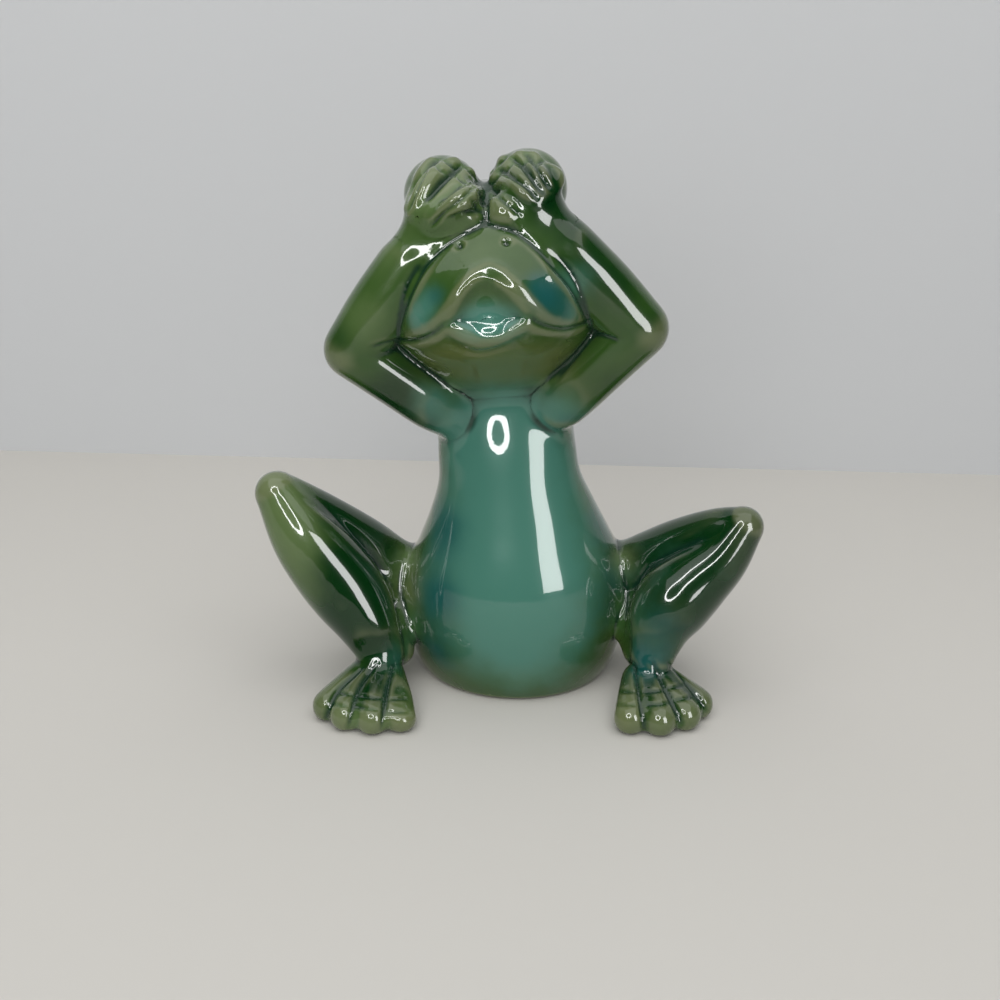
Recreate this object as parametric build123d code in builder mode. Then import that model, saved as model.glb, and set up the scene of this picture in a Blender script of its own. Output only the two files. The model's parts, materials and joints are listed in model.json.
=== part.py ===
"""Frog figurine covering its eyes: slip-cast pieces with spigots and pegs, stuck together into one ornament.

The frog faces -Y and +Z is up. The origin is on the table, under the middle of the outline.
Left and right are the sides seen by someone who looks at its face: left is -X.
"""

import os
from math import asin, cos, radians, sin, sqrt

from build123d import *

# Casting and joints
WALL = 3.5  # wall of the hollow castings
SLIP_GAP = 0.2  # slip layer round a spigot or a peg
OVERRUN = 3.0  # how far a cut or a rooted end runs past a face
OVAL_STEP = 30  # degrees between the points of an oval

# Spine, from which the upper body leans towards -X
SPINE_LEAN = 5.5  # degrees
SPINE_FOOT_X = 4.9
SPINE_FOOT_Y = 0.0

# Torso
BELLY_WIDTH = 60.5
BELLY_DEPTH = 55.0
NECK_HEIGHT = 80.0  # along the spine, from the table
NECK_BORE_RADIUS = 9.5
NECK_SET_BACK = 6.5
DRAIN_RADIUS = 5.0
# height, width, depth, set-back and sway of each section
TORSO_SECTION_SHARES = (
    (-0.05, 0.748, 0.78, 0.16, -0.024),
    (0.05, 0.90, 0.93, 0.16, -0.024),
    (0.16, 0.978, 0.99, 0.16, -0.023),
    (0.27, 1.0, 1.0, 0.16, -0.021),
    (0.40, 0.925, 0.94, 0.16, -0.011),
    (0.55, 0.748, 0.79, 0.15, -0.002),
    (0.69, 0.609, 0.665, 0.145, 0.0),
    (0.87, 0.594, 0.59, 0.13, 0.0),
    (1.05, 0.60, 0.575, 0.12, 0.0),
)

# Head
HEAD_HEIGHT = 47.0  # neck to brow, along the spine
HEAD_WIDTH = 53.0
HEAD_DEPTH = 53.0
# height, width, depth, set-back and sway of each section
HEAD_SECTION_SHARES = (
    (-0.05, 0.655, 0.58, 0.12, 0.0),
    (0.12, 0.81, 0.71, 0.10, 0.0),
    (0.28, 0.97, 0.88, 0.06, 0.0),
    (0.43, 1.0, 0.98, 0.03, 0.0),
    (0.60, 0.93, 1.0, 0.02, 0.0),
    (0.75, 0.80, 0.92, 0.03, 0.0),
    (0.88, 0.63, 0.74, 0.05, 0.0),
    (1.0, 0.40, 0.46, 0.08, 0.0),
    (1.05, 0.20, 0.22, 0.09, 0.0),
)
NECK_SPIGOT_LENGTH = 6.0
EYE_RADIUS = 9.4
EYE_SPREAD = 10.1  # from the spine
EYE_SET_BACK = 2.0
EYE_RISE = 47.0  # above the neck
NOSTRIL_RADIUS = 0.9
NOSTRIL_SPREAD = 5.0
NOSTRIL_RISE = 38.0  # above the neck
NOSTRIL_FLOOR_SHARE = 0.68  # of the face's reach in front of the spine

# Mouth
MOUTH_WIDTH = 46.0
MOUTH_HEIGHT = 12.0
MOUTH_RISE = 16.4  # of the lower lip's middle above the neck
MOUTH_CORNER_RISE = 0.6
MOUTH_DEPTH = 11.0  # of the solid behind the mouth, from the furthest point of the face
MOUTH_PRESS = 3.4  # how deep the mouth is pressed into the face
LIP_BEND_SHARES = (0.23, 0.58)  # where the upper lip bends: of the mouth's width and height
TONGUE_WIDTH = 23.0
TONGUE_THICKNESS = 8.4
TONGUE_SIDE_SHARE = 0.6  # of its thickness
TONGUE_REACH = 3.0  # middle of the tongue in front of the mouth's back
TONGUE_RISE = 3.0  # middle of the tongue above the lower lip

# Arms
SHOULDER_SPREAD = 15.0
SHOULDER_SET_BACK = 0.5
SHOULDER_DROP = 6.0  # below the neck
ELBOW_SPREAD = 34.6
ELBOW_SET_BACK = -4.0
ELBOW_RISE = 13.0  # above the neck
ELBOW_RADIUS = 7.3
SHOULDER_RADIUS = 7.0
FOREARM_RADIUS = 7.9
FOREARM_BULGE_SHARE = 0.42
WRIST_OUT = 3.4  # from the eye's middle, away from the spine
WRIST_DROP = 8.4  # below the eye's middle
WRIST_FORWARD = 12.8  # in front of the eye's middle
WRIST_RADIUS = 6.2
ELBOW_END_SHARE = 0.92  # of the elbow's radius, where the bars of the arm end in it
SHOULDER_SPIGOT_RADIUS = 3.4
SHOULDER_SPIGOT_LENGTH = 8.0
WRIST_PEG_RADIUS = 1.8
WRIST_PEG_LENGTH = 5.0
WRIST_PEG_FORWARD = 2.6  # in front of the wrist's middle

# Hands
FINGER_COUNT = 4
FINGER_RADIUS = 2.8
FINGER_SINK = 1.0  # of a finger's middle line below the eye dome
FINGER_TIP_RADIUS = 2.2
KNUCKLE_SHARE = 0.55  # of the way from a finger's root to its tip
KNUCKLE_END_SHARE = 0.95  # of a finger's radius, where its end bone starts
HAND_TILT = 20.0  # degrees that the fan of fingers leans back
TIP_ANGLE = 81.0  # degrees round the eye, of the outer finger's tip
TIP_STEP = 25.0
ROOT_ANGLE = 204.0  # degrees round the eye, of the outer finger's root
ROOT_STEP = 24.0
LEFT_HAND_TURN = 0.0
RIGHT_HAND_TURN = 20.0
TIP_SHARE = 0.68  # of the eye's radius, from its middle
ROOT_SHARE = 0.74
PALM_RADIUS = 5.2
PALM_SINK_SHARE = 0.62  # of the eye's radius, from its middle to the palm's
HEEL_SPREAD = 4.8  # heel of the hand, from the spine
HEEL_RISE = 43.0  # above the neck
HEEL_SET_BACK = -10.0
HEEL_RADIUS = 4.9

# Legs
LEFT_HIP_HEIGHT = 20.5
RIGHT_HIP_HEIGHT = 25.3
HIP_SET_BACK = 11.0
HIP_SPREAD_SHARE = 0.96  # of half the belly's width
HIP_RADIUS = 8.9
THIGH_RADIUS = 8.6
THIGH_BULGE_SHARE = 0.45
KNEE_RADIUS = 5.6
KNEE_END_SHARE = 0.9  # of the knee's radius, where the thigh ends in it
CALF_RADIUS = 8.5
CALF_SHARE = 0.3  # of the way from knee to ankle
SHANK_RADIUS = 9.7
SHANK_BULGE_SHARE = 0.6
ANKLE_RADIUS = 6.0
HAUNCH_RADIUS = 6.0  # of the web between hip and ankle
HAUNCH_END_SHARE = 0.94  # of the ankle's radius, where the web ends in it
FOLD_RADIUS = 6.6  # of the fold that fills the leg between thigh and shank
FOLD_END_RADIUS = 5.6
FOLD_THIGH_SHARE = 0.15  # of the way from hip to knee
FOLD_SHANK_SHARE = 0.8  # of the way from knee to ankle
KNEE_FORWARD = 13.0  # in front of the hip
LEFT_KNEE_OUT = 34.0  # from the hip
LEFT_KNEE_RISE = 30.4  # above the hip
RIGHT_KNEE_OUT = 28.8
RIGHT_KNEE_RISE = 19.8
ANKLE_HEIGHT = 10.5
ANKLE_FORWARD = 24.5  # in front of the hip
LEFT_ANKLE_OUT = 6.5  # from the hip
RIGHT_ANKLE_OUT = 4.7
HOLLOW_END_SHARE = 0.72  # of the way from hip to knee, where the thigh's hollow ends
HIP_SPIGOT_RADIUS = 5.0
HIP_SPIGOT_LENGTH = 11.0
VENT_RADIUS = 2.0

# Feet
TOE_COUNT = 4
TOE_RADIUS = 4.3
TOE_HEIGHT = 3.3  # middle of a toe's tip above the table
INSTEP_HEIGHT = 6.6  # middle of a toe's root above the table
INSTEP_RADIUS = 5.8
TOE_ROOT_SHARE = 0.14  # of a toe's reach, where its root starts
TOE_REACH_SHARES = (1.0, 1.0, 0.98, 0.92)  # from the inner toe outwards
LEFT_FOOT_LENGTH = 18.4
LEFT_FOOT_AIM = 67.0  # degrees that the inner toe turns from the way across
LEFT_TOE_STEP = 21.5
RIGHT_FOOT_LENGTH = 15.4
RIGHT_FOOT_AIM = 72.0
RIGHT_TOE_STEP = 27.0
ANKLE_PEG_RADIUS = 2.6
ANKLE_PEG_LENGTH = 5.0

upper = Plane(
    origin=(SPINE_FOOT_X, SPINE_FOOT_Y, 0),
    x_dir=(cos(radians(SPINE_LEAN)), 0, sin(radians(SPINE_LEAN))),
    z_dir=(-sin(radians(SPINE_LEAN)), 0, cos(radians(SPINE_LEAN))),
)
neck = upper.offset(NECK_HEIGHT)
face = Plane(origin=neck.origin, x_dir=neck.x_dir, z_dir=(0, -1, 0))
face_reach = HEAD_DEPTH / 2


def stacked_form(section_shares, foot, height, width, depth, inset):
    """Loft through ovals square to the spine, each drawn in by the inset."""
    with BuildPart() as form:
        for rise_share, width_share, depth_share, back_share, sway_share in section_shares:
            middle = (sway_share * width, back_share * depth)
            half_width = width_share * width / 2 - inset
            half_depth = depth_share * depth / 2 - inset
            turns = [radians(angle) for angle in range(0, 360, OVAL_STEP)]
            with BuildSketch(upper.offset(foot + rise_share * height)):
                with BuildLine():
                    Spline(
                        *[(middle[0] + half_width * cos(t), middle[1] + half_depth * sin(t)) for t in turns],
                        periodic=True,
                    )
                make_face()
        loft()
    return form.part


def limb(start, end, stations):
    """A round limb of balls joined by cones, each ball given by its share of the way and its radius."""
    run = (end - start).length
    across = Plane(origin=start, z_dir=end - start)
    balls = [(share * run, radius) for share, radius in stations]
    leans = [asin((r0 - r1) / (x1 - x0)) for (x0, r0), (x1, r1) in zip(balls, balls[1:])]
    turns = [radians(-90), *leans, radians(90)]
    arcs = [
        [(x + radius * sin(turn), radius * cos(turn)) for turn in (before, (before + after) / 2, after)]
        for (x, radius), before, after in zip(balls, turns, turns[1:])
    ]
    with BuildPart() as form:
        with BuildSketch(Plane(origin=start, x_dir=across.z_dir, z_dir=across.x_dir)):
            with BuildLine():
                for arc in arcs:
                    ThreePointArc(*arc)
                for arc, next_arc in zip(arcs, arcs[1:]):
                    Line(arc[-1], next_arc[0])
                Line(arcs[-1][-1], arcs[0][0])
            make_face()
        revolve(axis=Axis(start, end - start))
    return form.part


def rod(start, end, radius):
    """A plain round bar from point to point."""
    with BuildPart() as bar:
        with BuildSketch(Plane(origin=start, z_dir=end - start)):
            Circle(radius)
        extrude(amount=(end - start).length)
    return bar.part


def towards(start, end, distance):
    """The point that lies the distance from the start on the way to the end."""
    return start + (end - start).normalized() * distance


# Torso: the outer form, and the casting with its hollow, neck bore and drain
with BuildPart() as torso_form:
    add(stacked_form(TORSO_SECTION_SHARES, 0, NECK_HEIGHT, BELLY_WIDTH, BELLY_DEPTH, 0))
    split(bisect_by=Plane.XY, keep=Keep.TOP)
    split(bisect_by=neck, keep=Keep.BOTTOM)

with BuildPart() as torso_hollow:
    add(stacked_form(TORSO_SECTION_SHARES, 0, NECK_HEIGHT, BELLY_WIDTH, BELLY_DEPTH, WALL))
    split(bisect_by=Plane.XY.offset(WALL), keep=Keep.TOP)
    split(bisect_by=neck.offset(-WALL), keep=Keep.BOTTOM)


# Head: the mouth, and the casting with its eye domes, hollow, nostrils and neck spigot
def mouth_block(grow, behind):
    """The mouth's outline, grown outwards and run from its back to past the face."""
    half = MOUTH_WIDTH / 2 + grow
    corner_rise = MOUTH_RISE + MOUTH_CORNER_RISE
    bend_across, bend_up = LIP_BEND_SHARES
    bend = (bend_across * MOUTH_WIDTH + grow, MOUTH_RISE + bend_up * MOUTH_HEIGHT + grow)
    with BuildPart() as block:
        with BuildSketch(face.offset(face_reach - MOUTH_DEPTH - behind)):
            with BuildLine():
                Spline(
                    (half, corner_rise),
                    bend,
                    (0, MOUTH_RISE + MOUTH_HEIGHT + grow),
                    (-bend[0], bend[1]),
                    (-half, corner_rise),
                )
                ThreePointArc((-half, corner_rise), (0, MOUTH_RISE - grow), (half, corner_rise))
            make_face()
        extrude(amount=MOUTH_DEPTH + behind + OVERRUN)
    return block.part


def eye_middle(side):
    """Middle of an eye dome."""
    return neck.from_local_coords(Vector(side * EYE_SPREAD, EYE_SET_BACK, EYE_RISE))


with BuildPart() as head_form:
    add(stacked_form(HEAD_SECTION_SHARES, NECK_HEIGHT, HEAD_HEIGHT, HEAD_WIDTH, HEAD_DEPTH, 0))
    split(bisect_by=neck, keep=Keep.TOP)
    with Locations(eye_middle(-1), eye_middle(1)):
        Sphere(EYE_RADIUS)

with BuildPart() as head_hollow:
    add(stacked_form(HEAD_SECTION_SHARES, NECK_HEIGHT, HEAD_HEIGHT, HEAD_WIDTH, HEAD_DEPTH, WALL))
    split(bisect_by=neck.offset(WALL), keep=Keep.TOP)
    split(bisect_by=neck.offset(HEAD_HEIGHT - WALL), keep=Keep.BOTTOM)
    add(mouth_block(WALL, WALL), mode=Mode.SUBTRACT)

with BuildPart() as mouth_press:
    add(mouth_block(0, 0))
    add(
        stacked_form(HEAD_SECTION_SHARES, NECK_HEIGHT, HEAD_HEIGHT, HEAD_WIDTH, HEAD_DEPTH, MOUTH_PRESS),
        mode=Mode.SUBTRACT,
    )

with BuildPart() as head:
    add(head_form.part)
    add(head_hollow.part, mode=Mode.SUBTRACT)
    add(mouth_press.part, mode=Mode.SUBTRACT)
    with BuildSketch(face.offset(face_reach * NOSTRIL_FLOOR_SHARE)):
        with Locations((-NOSTRIL_SPREAD, NOSTRIL_RISE), (NOSTRIL_SPREAD, NOSTRIL_RISE)):
            Circle(NOSTRIL_RADIUS)
    extrude(amount=face_reach, mode=Mode.SUBTRACT)
    with BuildSketch(neck):
        with Locations((0, NECK_SET_BACK)):
            Circle(NECK_BORE_RADIUS - SLIP_GAP)
    extrude(amount=-NECK_SPIGOT_LENGTH)
    with BuildSketch(neck.offset(-NECK_SPIGOT_LENGTH - OVERRUN)):
        with Locations((0, NECK_SET_BACK)):
            Circle(NECK_BORE_RADIUS - SLIP_GAP - WALL)
    extrude(amount=NECK_SPIGOT_LENGTH + WALL + 2 * OVERRUN, mode=Mode.SUBTRACT)

# Tongue: a bulged bar across the mouth, seated on its pressed floor
tongue_height = MOUTH_RISE + TONGUE_RISE
tongue_half = TONGUE_WIDTH / 2
tongue_side = TONGUE_SIDE_SHARE * TONGUE_THICKNESS / 2
tongue_front = face.offset(face_reach - MOUTH_DEPTH + TONGUE_REACH)
with BuildPart() as tongue:
    add(
        limb(
            tongue_front.from_local_coords(Vector(tongue_side - tongue_half, tongue_height, 0)),
            tongue_front.from_local_coords(Vector(tongue_half - tongue_side, tongue_height, 0)),
            ((0, tongue_side), (1 / 2, TONGUE_THICKNESS / 2), (1, tongue_side)),
        )
    )
    add(mouth_press.part, mode=Mode.INTERSECT)


def hand_plane(side):
    """Plane of a hand's fan of fingers: through the eye's middle, facing ahead and a little up."""
    tilt = radians(HAND_TILT)
    return Plane(origin=eye_middle(side), x_dir=neck.x_dir, z_dir=Vector(0, -cos(tilt), sin(tilt)))


def dome_point(side, across, up):
    """The point sunk below an eye dome's front at a place across and up in the hand's plane."""
    front = sqrt((EYE_RADIUS - FINGER_SINK) ** 2 - across**2 - up**2)
    return hand_plane(side).from_local_coords(Vector(across, up, front))


def finger_points(side, turn, finger):
    """Root, knuckle and tip of a finger on the eye dome."""
    tip_angle = radians(TIP_ANGLE + turn - finger * TIP_STEP)
    root_angle = radians(ROOT_ANGLE + turn + finger * ROOT_STEP)
    tip = (-side * EYE_RADIUS * TIP_SHARE * cos(tip_angle), EYE_RADIUS * TIP_SHARE * sin(tip_angle))
    root = (-side * EYE_RADIUS * ROOT_SHARE * cos(root_angle), EYE_RADIUS * ROOT_SHARE * sin(root_angle))
    knuckle = [r + KNUCKLE_SHARE * (t - r) for r, t in zip(root, tip)]
    return [dome_point(side, *place) for place in (root, knuckle, tip)]


def shoulder_point(side):
    """Root of an arm, inside the torso's wall."""
    return neck.from_local_coords(Vector(side * SHOULDER_SPREAD, SHOULDER_SET_BACK, -SHOULDER_DROP))


def elbow_point(side):
    """Middle of an elbow."""
    return neck.from_local_coords(Vector(side * ELBOW_SPREAD, ELBOW_SET_BACK, ELBOW_RISE))


def wrist_point(side):
    """Middle of the joint between forearm and hand."""
    return neck.from_local_coords(
        Vector(side * (EYE_SPREAD + WRIST_OUT), EYE_SET_BACK - WRIST_FORWARD, EYE_RISE - WRIST_DROP)
    )


def peg_point(side):
    """Root of a hand's peg, in front of the wrist's middle, clear of the head."""
    return wrist_point(side) - Vector(0, WRIST_PEG_FORWARD, 0)


def wrist_plane(side):
    """Flat joint of the wrist, facing the elbow."""
    return Plane(origin=wrist_point(side), z_dir=elbow_point(side) - wrist_point(side))


def arm(side):
    """One arm: upper arm, elbow and forearm, seated on torso and head, with its shoulder spigot."""
    root = shoulder_point(side)
    inner_root = root - neck.x_dir * side * SHOULDER_SPIGOT_RADIUS
    spigot_end = inner_root + neck.x_dir * side * SHOULDER_SPIGOT_LENGTH
    peg_end = towards(peg_point(side), elbow_point(side), WRIST_PEG_LENGTH + SLIP_GAP)
    socket_start = towards(peg_point(side), peg_end, -OVERRUN)
    forearm_stations = (
        (0, ELBOW_RADIUS * ELBOW_END_SHARE),
        (FOREARM_BULGE_SHARE, FOREARM_RADIUS),
        (1, WRIST_RADIUS),
    )
    with BuildPart() as casting:
        add(limb(elbow_point(side), wrist_point(side), forearm_stations))
        split(bisect_by=wrist_plane(side), keep=Keep.TOP)
        with Locations(elbow_point(side)):
            Sphere(ELBOW_RADIUS)
        add(limb(root, elbow_point(side), ((0, SHOULDER_RADIUS), (1, ELBOW_RADIUS * ELBOW_END_SHARE))))
        add(torso_form.part, mode=Mode.SUBTRACT)
        add(head_form.part, mode=Mode.SUBTRACT)
        add(rod(inner_root, spigot_end, SHOULDER_SPIGOT_RADIUS))
        add(rod(socket_start, peg_end, WRIST_PEG_RADIUS + SLIP_GAP), mode=Mode.SUBTRACT)
    return casting.part


def hand(side, turn):
    """One hand: palm and fingers laid on the eye, with its wrist peg."""
    peg_end = towards(peg_point(side), elbow_point(side), WRIST_PEG_LENGTH)
    peg_root = towards(peg_point(side), elbow_point(side), -OVERRUN)
    palm_end = hand_plane(side).from_local_coords(Vector(0, 0, EYE_RADIUS * PALM_SINK_SHARE))
    heel = neck.from_local_coords(Vector(side * HEEL_SPREAD, HEEL_SET_BACK, HEEL_RISE))
    middle = Plane(origin=neck.origin + neck.x_dir * side * SLIP_GAP / 2, z_dir=neck.x_dir * side)
    with BuildPart() as palm:
        add(limb(wrist_point(side), palm_end, ((0, WRIST_RADIUS), (1, PALM_RADIUS))))
        add(limb(wrist_point(side), heel, ((0, PALM_RADIUS), (1, HEEL_RADIUS))))
        for finger in range(FINGER_COUNT):
            root, knuckle, tip = finger_points(side, turn, finger)
            add(limb(root, knuckle, ((0, FINGER_RADIUS), (1, FINGER_RADIUS))))
            add(limb(knuckle, tip, ((0, FINGER_RADIUS * KNUCKLE_END_SHARE), (1, FINGER_TIP_RADIUS))))
        split(bisect_by=wrist_plane(side), keep=Keep.BOTTOM)
        split(bisect_by=middle, keep=Keep.TOP)
        add(rod(peg_root, peg_end, WRIST_PEG_RADIUS))
        add(head_form.part, mode=Mode.SUBTRACT)
    return palm.part


def hip_point(side):
    """Where the middle of a thigh meets the belly."""
    height = LEFT_HIP_HEIGHT if side < 0 else RIGHT_HIP_HEIGHT
    spine_x = SPINE_FOOT_X - height * sin(radians(SPINE_LEAN))
    return Vector(spine_x + side * HIP_SPREAD_SHARE * BELLY_WIDTH / 2, HIP_SET_BACK, height)


def knee_point(side, out, rise):
    """Middle of a knee."""
    return hip_point(side) + Vector(side * out, -KNEE_FORWARD, rise)


def ankle_point(side, out):
    """End of a shank, inside the foot."""
    hip = hip_point(side)
    return Vector(hip.X + side * out, hip.Y - ANKLE_FORWARD, ANKLE_HEIGHT)


def leg_form(side, knee, ankle):
    """Outer form of a folded leg."""
    thigh_stations = ((0, HIP_RADIUS), (THIGH_BULGE_SHARE, THIGH_RADIUS), (1, KNEE_RADIUS * KNEE_END_SHARE))
    hip = hip_point(side)
    fold_start = hip + (knee - hip) * FOLD_THIGH_SHARE
    fold_end = knee + (ankle - knee) * FOLD_SHANK_SHARE
    shank_stations = (
        (0, KNEE_RADIUS),
        (CALF_SHARE, CALF_RADIUS),
        (SHANK_BULGE_SHARE, SHANK_RADIUS),
        (1, ANKLE_RADIUS),
    )
    with BuildPart() as form:
        add(limb(hip, knee, thigh_stations))
        add(limb(knee, ankle, shank_stations))
        add(limb(hip, ankle, ((0, HAUNCH_RADIUS), (1, ANKLE_RADIUS * HAUNCH_END_SHARE))))
        add(limb(fold_start, fold_end, ((0, FOLD_RADIUS), (1, FOLD_END_RADIUS))))
    return form.part


def leg_hollow(side, knee):
    """Hollow of a thigh, which starts past the solid hip."""
    hip = hip_point(side)
    taper_share = (HOLLOW_END_SHARE - THIGH_BULGE_SHARE) / (1 - THIGH_BULGE_SHARE)
    end_radius = THIGH_RADIUS + taper_share * (KNEE_RADIUS * KNEE_END_SHARE - THIGH_RADIUS)
    hollow_stations = (
        (0, HIP_RADIUS - WALL),
        (THIGH_BULGE_SHARE, THIGH_RADIUS - WALL),
        (HOLLOW_END_SHARE, end_radius - WALL),
    )
    with BuildPart() as form:
        add(limb(hip, knee, hollow_stations))
        split(bisect_by=Plane(origin=towards(hip, knee, HIP_SPIGOT_LENGTH), z_dir=knee - hip), keep=Keep.TOP)
    return form.part


def leg(side, knee, ankle):
    """One hollow leg, seated on the torso, with its vented hip spigot and the socket of its foot."""
    hip = hip_point(side)
    spigot_start = towards(hip, knee, -HIP_SPIGOT_LENGTH)
    spigot_end = towards(hip, knee, HIP_SPIGOT_LENGTH)
    vent_start = towards(spigot_start, hip, -OVERRUN)
    peg_root = towards(ankle, knee, -ANKLE_RADIUS - ANKLE_PEG_RADIUS)
    peg_end = towards(ankle, knee, ANKLE_PEG_LENGTH + SLIP_GAP)
    with BuildPart() as casting:
        add(leg_form(side, knee, ankle))
        add(torso_form.part, mode=Mode.SUBTRACT)
        add(rod(spigot_start, spigot_end, HIP_SPIGOT_RADIUS))
        add(leg_hollow(side, knee), mode=Mode.SUBTRACT)
        add(rod(vent_start, towards(spigot_end, knee, WALL), VENT_RADIUS), mode=Mode.SUBTRACT)
        add(rod(peg_root, peg_end, ANKLE_PEG_RADIUS + SLIP_GAP), mode=Mode.SUBTRACT)
    return casting.part


def foot(side, knee, ankle, length, aim, step):
    """One foot: toes that fan out from the ankle, flat below, with its ankle peg."""
    heel = Vector(ankle.X, ankle.Y, INSTEP_HEIGHT)
    peg_root = towards(ankle, knee, -ANKLE_RADIUS - ANKLE_PEG_RADIUS)
    with BuildPart() as sole:
        for toe in range(TOE_COUNT):
            swing = radians(aim + toe * step)
            reach = length * TOE_REACH_SHARES[toe]
            tip = Vector(
                ankle.X - side * reach * cos(swing),
                ankle.Y - reach * sin(swing),
                TOE_HEIGHT,
            )
            add(limb(heel, tip, ((TOE_ROOT_SHARE, INSTEP_RADIUS), (1, TOE_RADIUS))))
        split(bisect_by=Plane.XY, keep=Keep.TOP)
        add(leg_form(side, knee, ankle), mode=Mode.SUBTRACT)
        add(torso_form.part, mode=Mode.SUBTRACT)
        add(rod(peg_root, towards(ankle, knee, ANKLE_PEG_LENGTH), ANKLE_PEG_RADIUS))
    return sole.part


left_knee = knee_point(-1, LEFT_KNEE_OUT, LEFT_KNEE_RISE)
right_knee = knee_point(1, RIGHT_KNEE_OUT, RIGHT_KNEE_RISE)
left_ankle = ankle_point(-1, LEFT_ANKLE_OUT)
right_ankle = ankle_point(1, RIGHT_ANKLE_OUT)

with BuildPart() as torso:
    add(torso_form.part)
    add(torso_hollow.part, mode=Mode.SUBTRACT)
    with BuildSketch(neck.offset(-WALL - OVERRUN)):
        with Locations((0, NECK_SET_BACK)):
            Circle(NECK_BORE_RADIUS)
    extrude(amount=WALL + 2 * OVERRUN, mode=Mode.SUBTRACT)
    with BuildSketch(Plane.XY.offset(-OVERRUN)):
        with Locations((SPINE_FOOT_X, NECK_SET_BACK)):
            Circle(DRAIN_RADIUS)
    extrude(amount=WALL + 2 * OVERRUN, mode=Mode.SUBTRACT)
    for side, knee in ((-1, left_knee), (1, right_knee)):
        hip = hip_point(side)
        hip_bore = rod(
            towards(hip, knee, -HIP_SPIGOT_LENGTH),
            towards(hip, knee, HIP_SPIGOT_LENGTH),
            HIP_SPIGOT_RADIUS + SLIP_GAP,
        )
        add(hip_bore, mode=Mode.SUBTRACT)
        root = shoulder_point(side)
        shoulder_bore = rod(
            root - neck.x_dir * side * SHOULDER_SPIGOT_LENGTH,
            root + neck.x_dir * side * SHOULDER_SPIGOT_LENGTH,
            SHOULDER_SPIGOT_RADIUS + SLIP_GAP,
        )
        add(shoulder_bore, mode=Mode.SUBTRACT)

pieces = {
    "torso": torso.part,
    "head": head.part,
    "tongue": tongue.part,
    "left_arm": arm(-1),
    "right_arm": arm(1),
    "left_hand": hand(-1, LEFT_HAND_TURN),
    "right_hand": hand(1, RIGHT_HAND_TURN),
    "left_leg": leg(-1, left_knee, left_ankle),
    "right_leg": leg(1, right_knee, right_ankle),
    "left_foot": foot(-1, left_knee, left_ankle, LEFT_FOOT_LENGTH, LEFT_FOOT_AIM, LEFT_TOE_STEP),
    "right_foot": foot(1, right_knee, right_ankle, RIGHT_FOOT_LENGTH, RIGHT_FOOT_AIM, RIGHT_TOE_STEP),
}

os.makedirs("parts", exist_ok=True)
for name, piece in pieces.items():
    piece.label = name
    export_step(piece, f"parts/{name}.step")
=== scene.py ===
"""Slip-cast frog figurine with its hands over its eyes, in pooled green and teal glaze.

Each casting is modelled as a clay form. The forms are luted into one piece of ware, which is sponged and
carved, and each casting then takes its fired skin from that ware and is glazed.
"""

import json
from math import cos, pi, radians, sin

import bmesh
import bpy
import numpy as np
from bpy.props import FloatProperty, FloatVectorProperty, IntProperty, PointerProperty
from mathutils import Matrix, Vector
from mathutils.bvhtree import BVHTree

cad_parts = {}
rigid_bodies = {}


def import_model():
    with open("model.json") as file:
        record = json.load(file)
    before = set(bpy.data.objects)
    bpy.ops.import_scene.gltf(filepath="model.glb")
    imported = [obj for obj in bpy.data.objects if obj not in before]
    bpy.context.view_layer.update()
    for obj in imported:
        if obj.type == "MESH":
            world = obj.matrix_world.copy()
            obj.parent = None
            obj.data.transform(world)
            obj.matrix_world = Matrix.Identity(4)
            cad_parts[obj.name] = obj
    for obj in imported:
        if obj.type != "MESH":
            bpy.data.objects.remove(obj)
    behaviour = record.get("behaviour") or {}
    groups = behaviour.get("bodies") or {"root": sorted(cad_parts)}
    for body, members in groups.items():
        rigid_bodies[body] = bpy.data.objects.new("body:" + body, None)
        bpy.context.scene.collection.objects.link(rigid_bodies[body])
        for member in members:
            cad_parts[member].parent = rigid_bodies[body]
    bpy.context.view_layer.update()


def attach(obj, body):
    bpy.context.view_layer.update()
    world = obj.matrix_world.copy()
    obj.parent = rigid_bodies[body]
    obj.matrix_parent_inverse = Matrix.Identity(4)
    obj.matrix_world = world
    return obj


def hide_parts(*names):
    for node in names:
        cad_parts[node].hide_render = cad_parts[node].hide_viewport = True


bl_info = {
    "name": "Glazed frog figurine",
    "version": (1, 0, 0),
    "blender": (4, 5, 0),
    "location": "3D View > Sidebar > Frog",
    "description": "Models, carves and glazes a slip-cast frog that covers its eyes",
    "category": "Add Mesh",
}

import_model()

MM = 0.001
PIECES = (
    "torso",
    "head",
    "tongue",
    "left_arm",
    "right_arm",
    "left_hand",
    "right_hand",
    "left_leg",
    "right_leg",
    "left_foot",
    "right_foot",
)
TEAL_PIECES = ("torso", "tongue")
SIDES = {"left": -1, "right": 1}
CLAY = "clay_"
WARE = "luted_ware"

# Camera, solved from the ruler and the table in the picture
VIEW_PITCH = radians(20.14)
VIEW_ROLL = radians(-1.01)
VIEW_YAW = radians(-1.28)
VIEW_PLACE = Vector((0.0040, -0.2897, 0.1559))
VIEW_REACH = 0.29
PICTURE_WIDTH = 1000
PICTURE_FOCAL = 1200
SENSOR_WIDTH = 36

# Rings and sides of the clay forms
RING_SIDES = 72
STACK_RINGS = 60
LIMB_RINGS = 28
END_TURNS = tuple(radians(turn) for turn in (15, 30, 45, 60, 74, 85))

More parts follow.
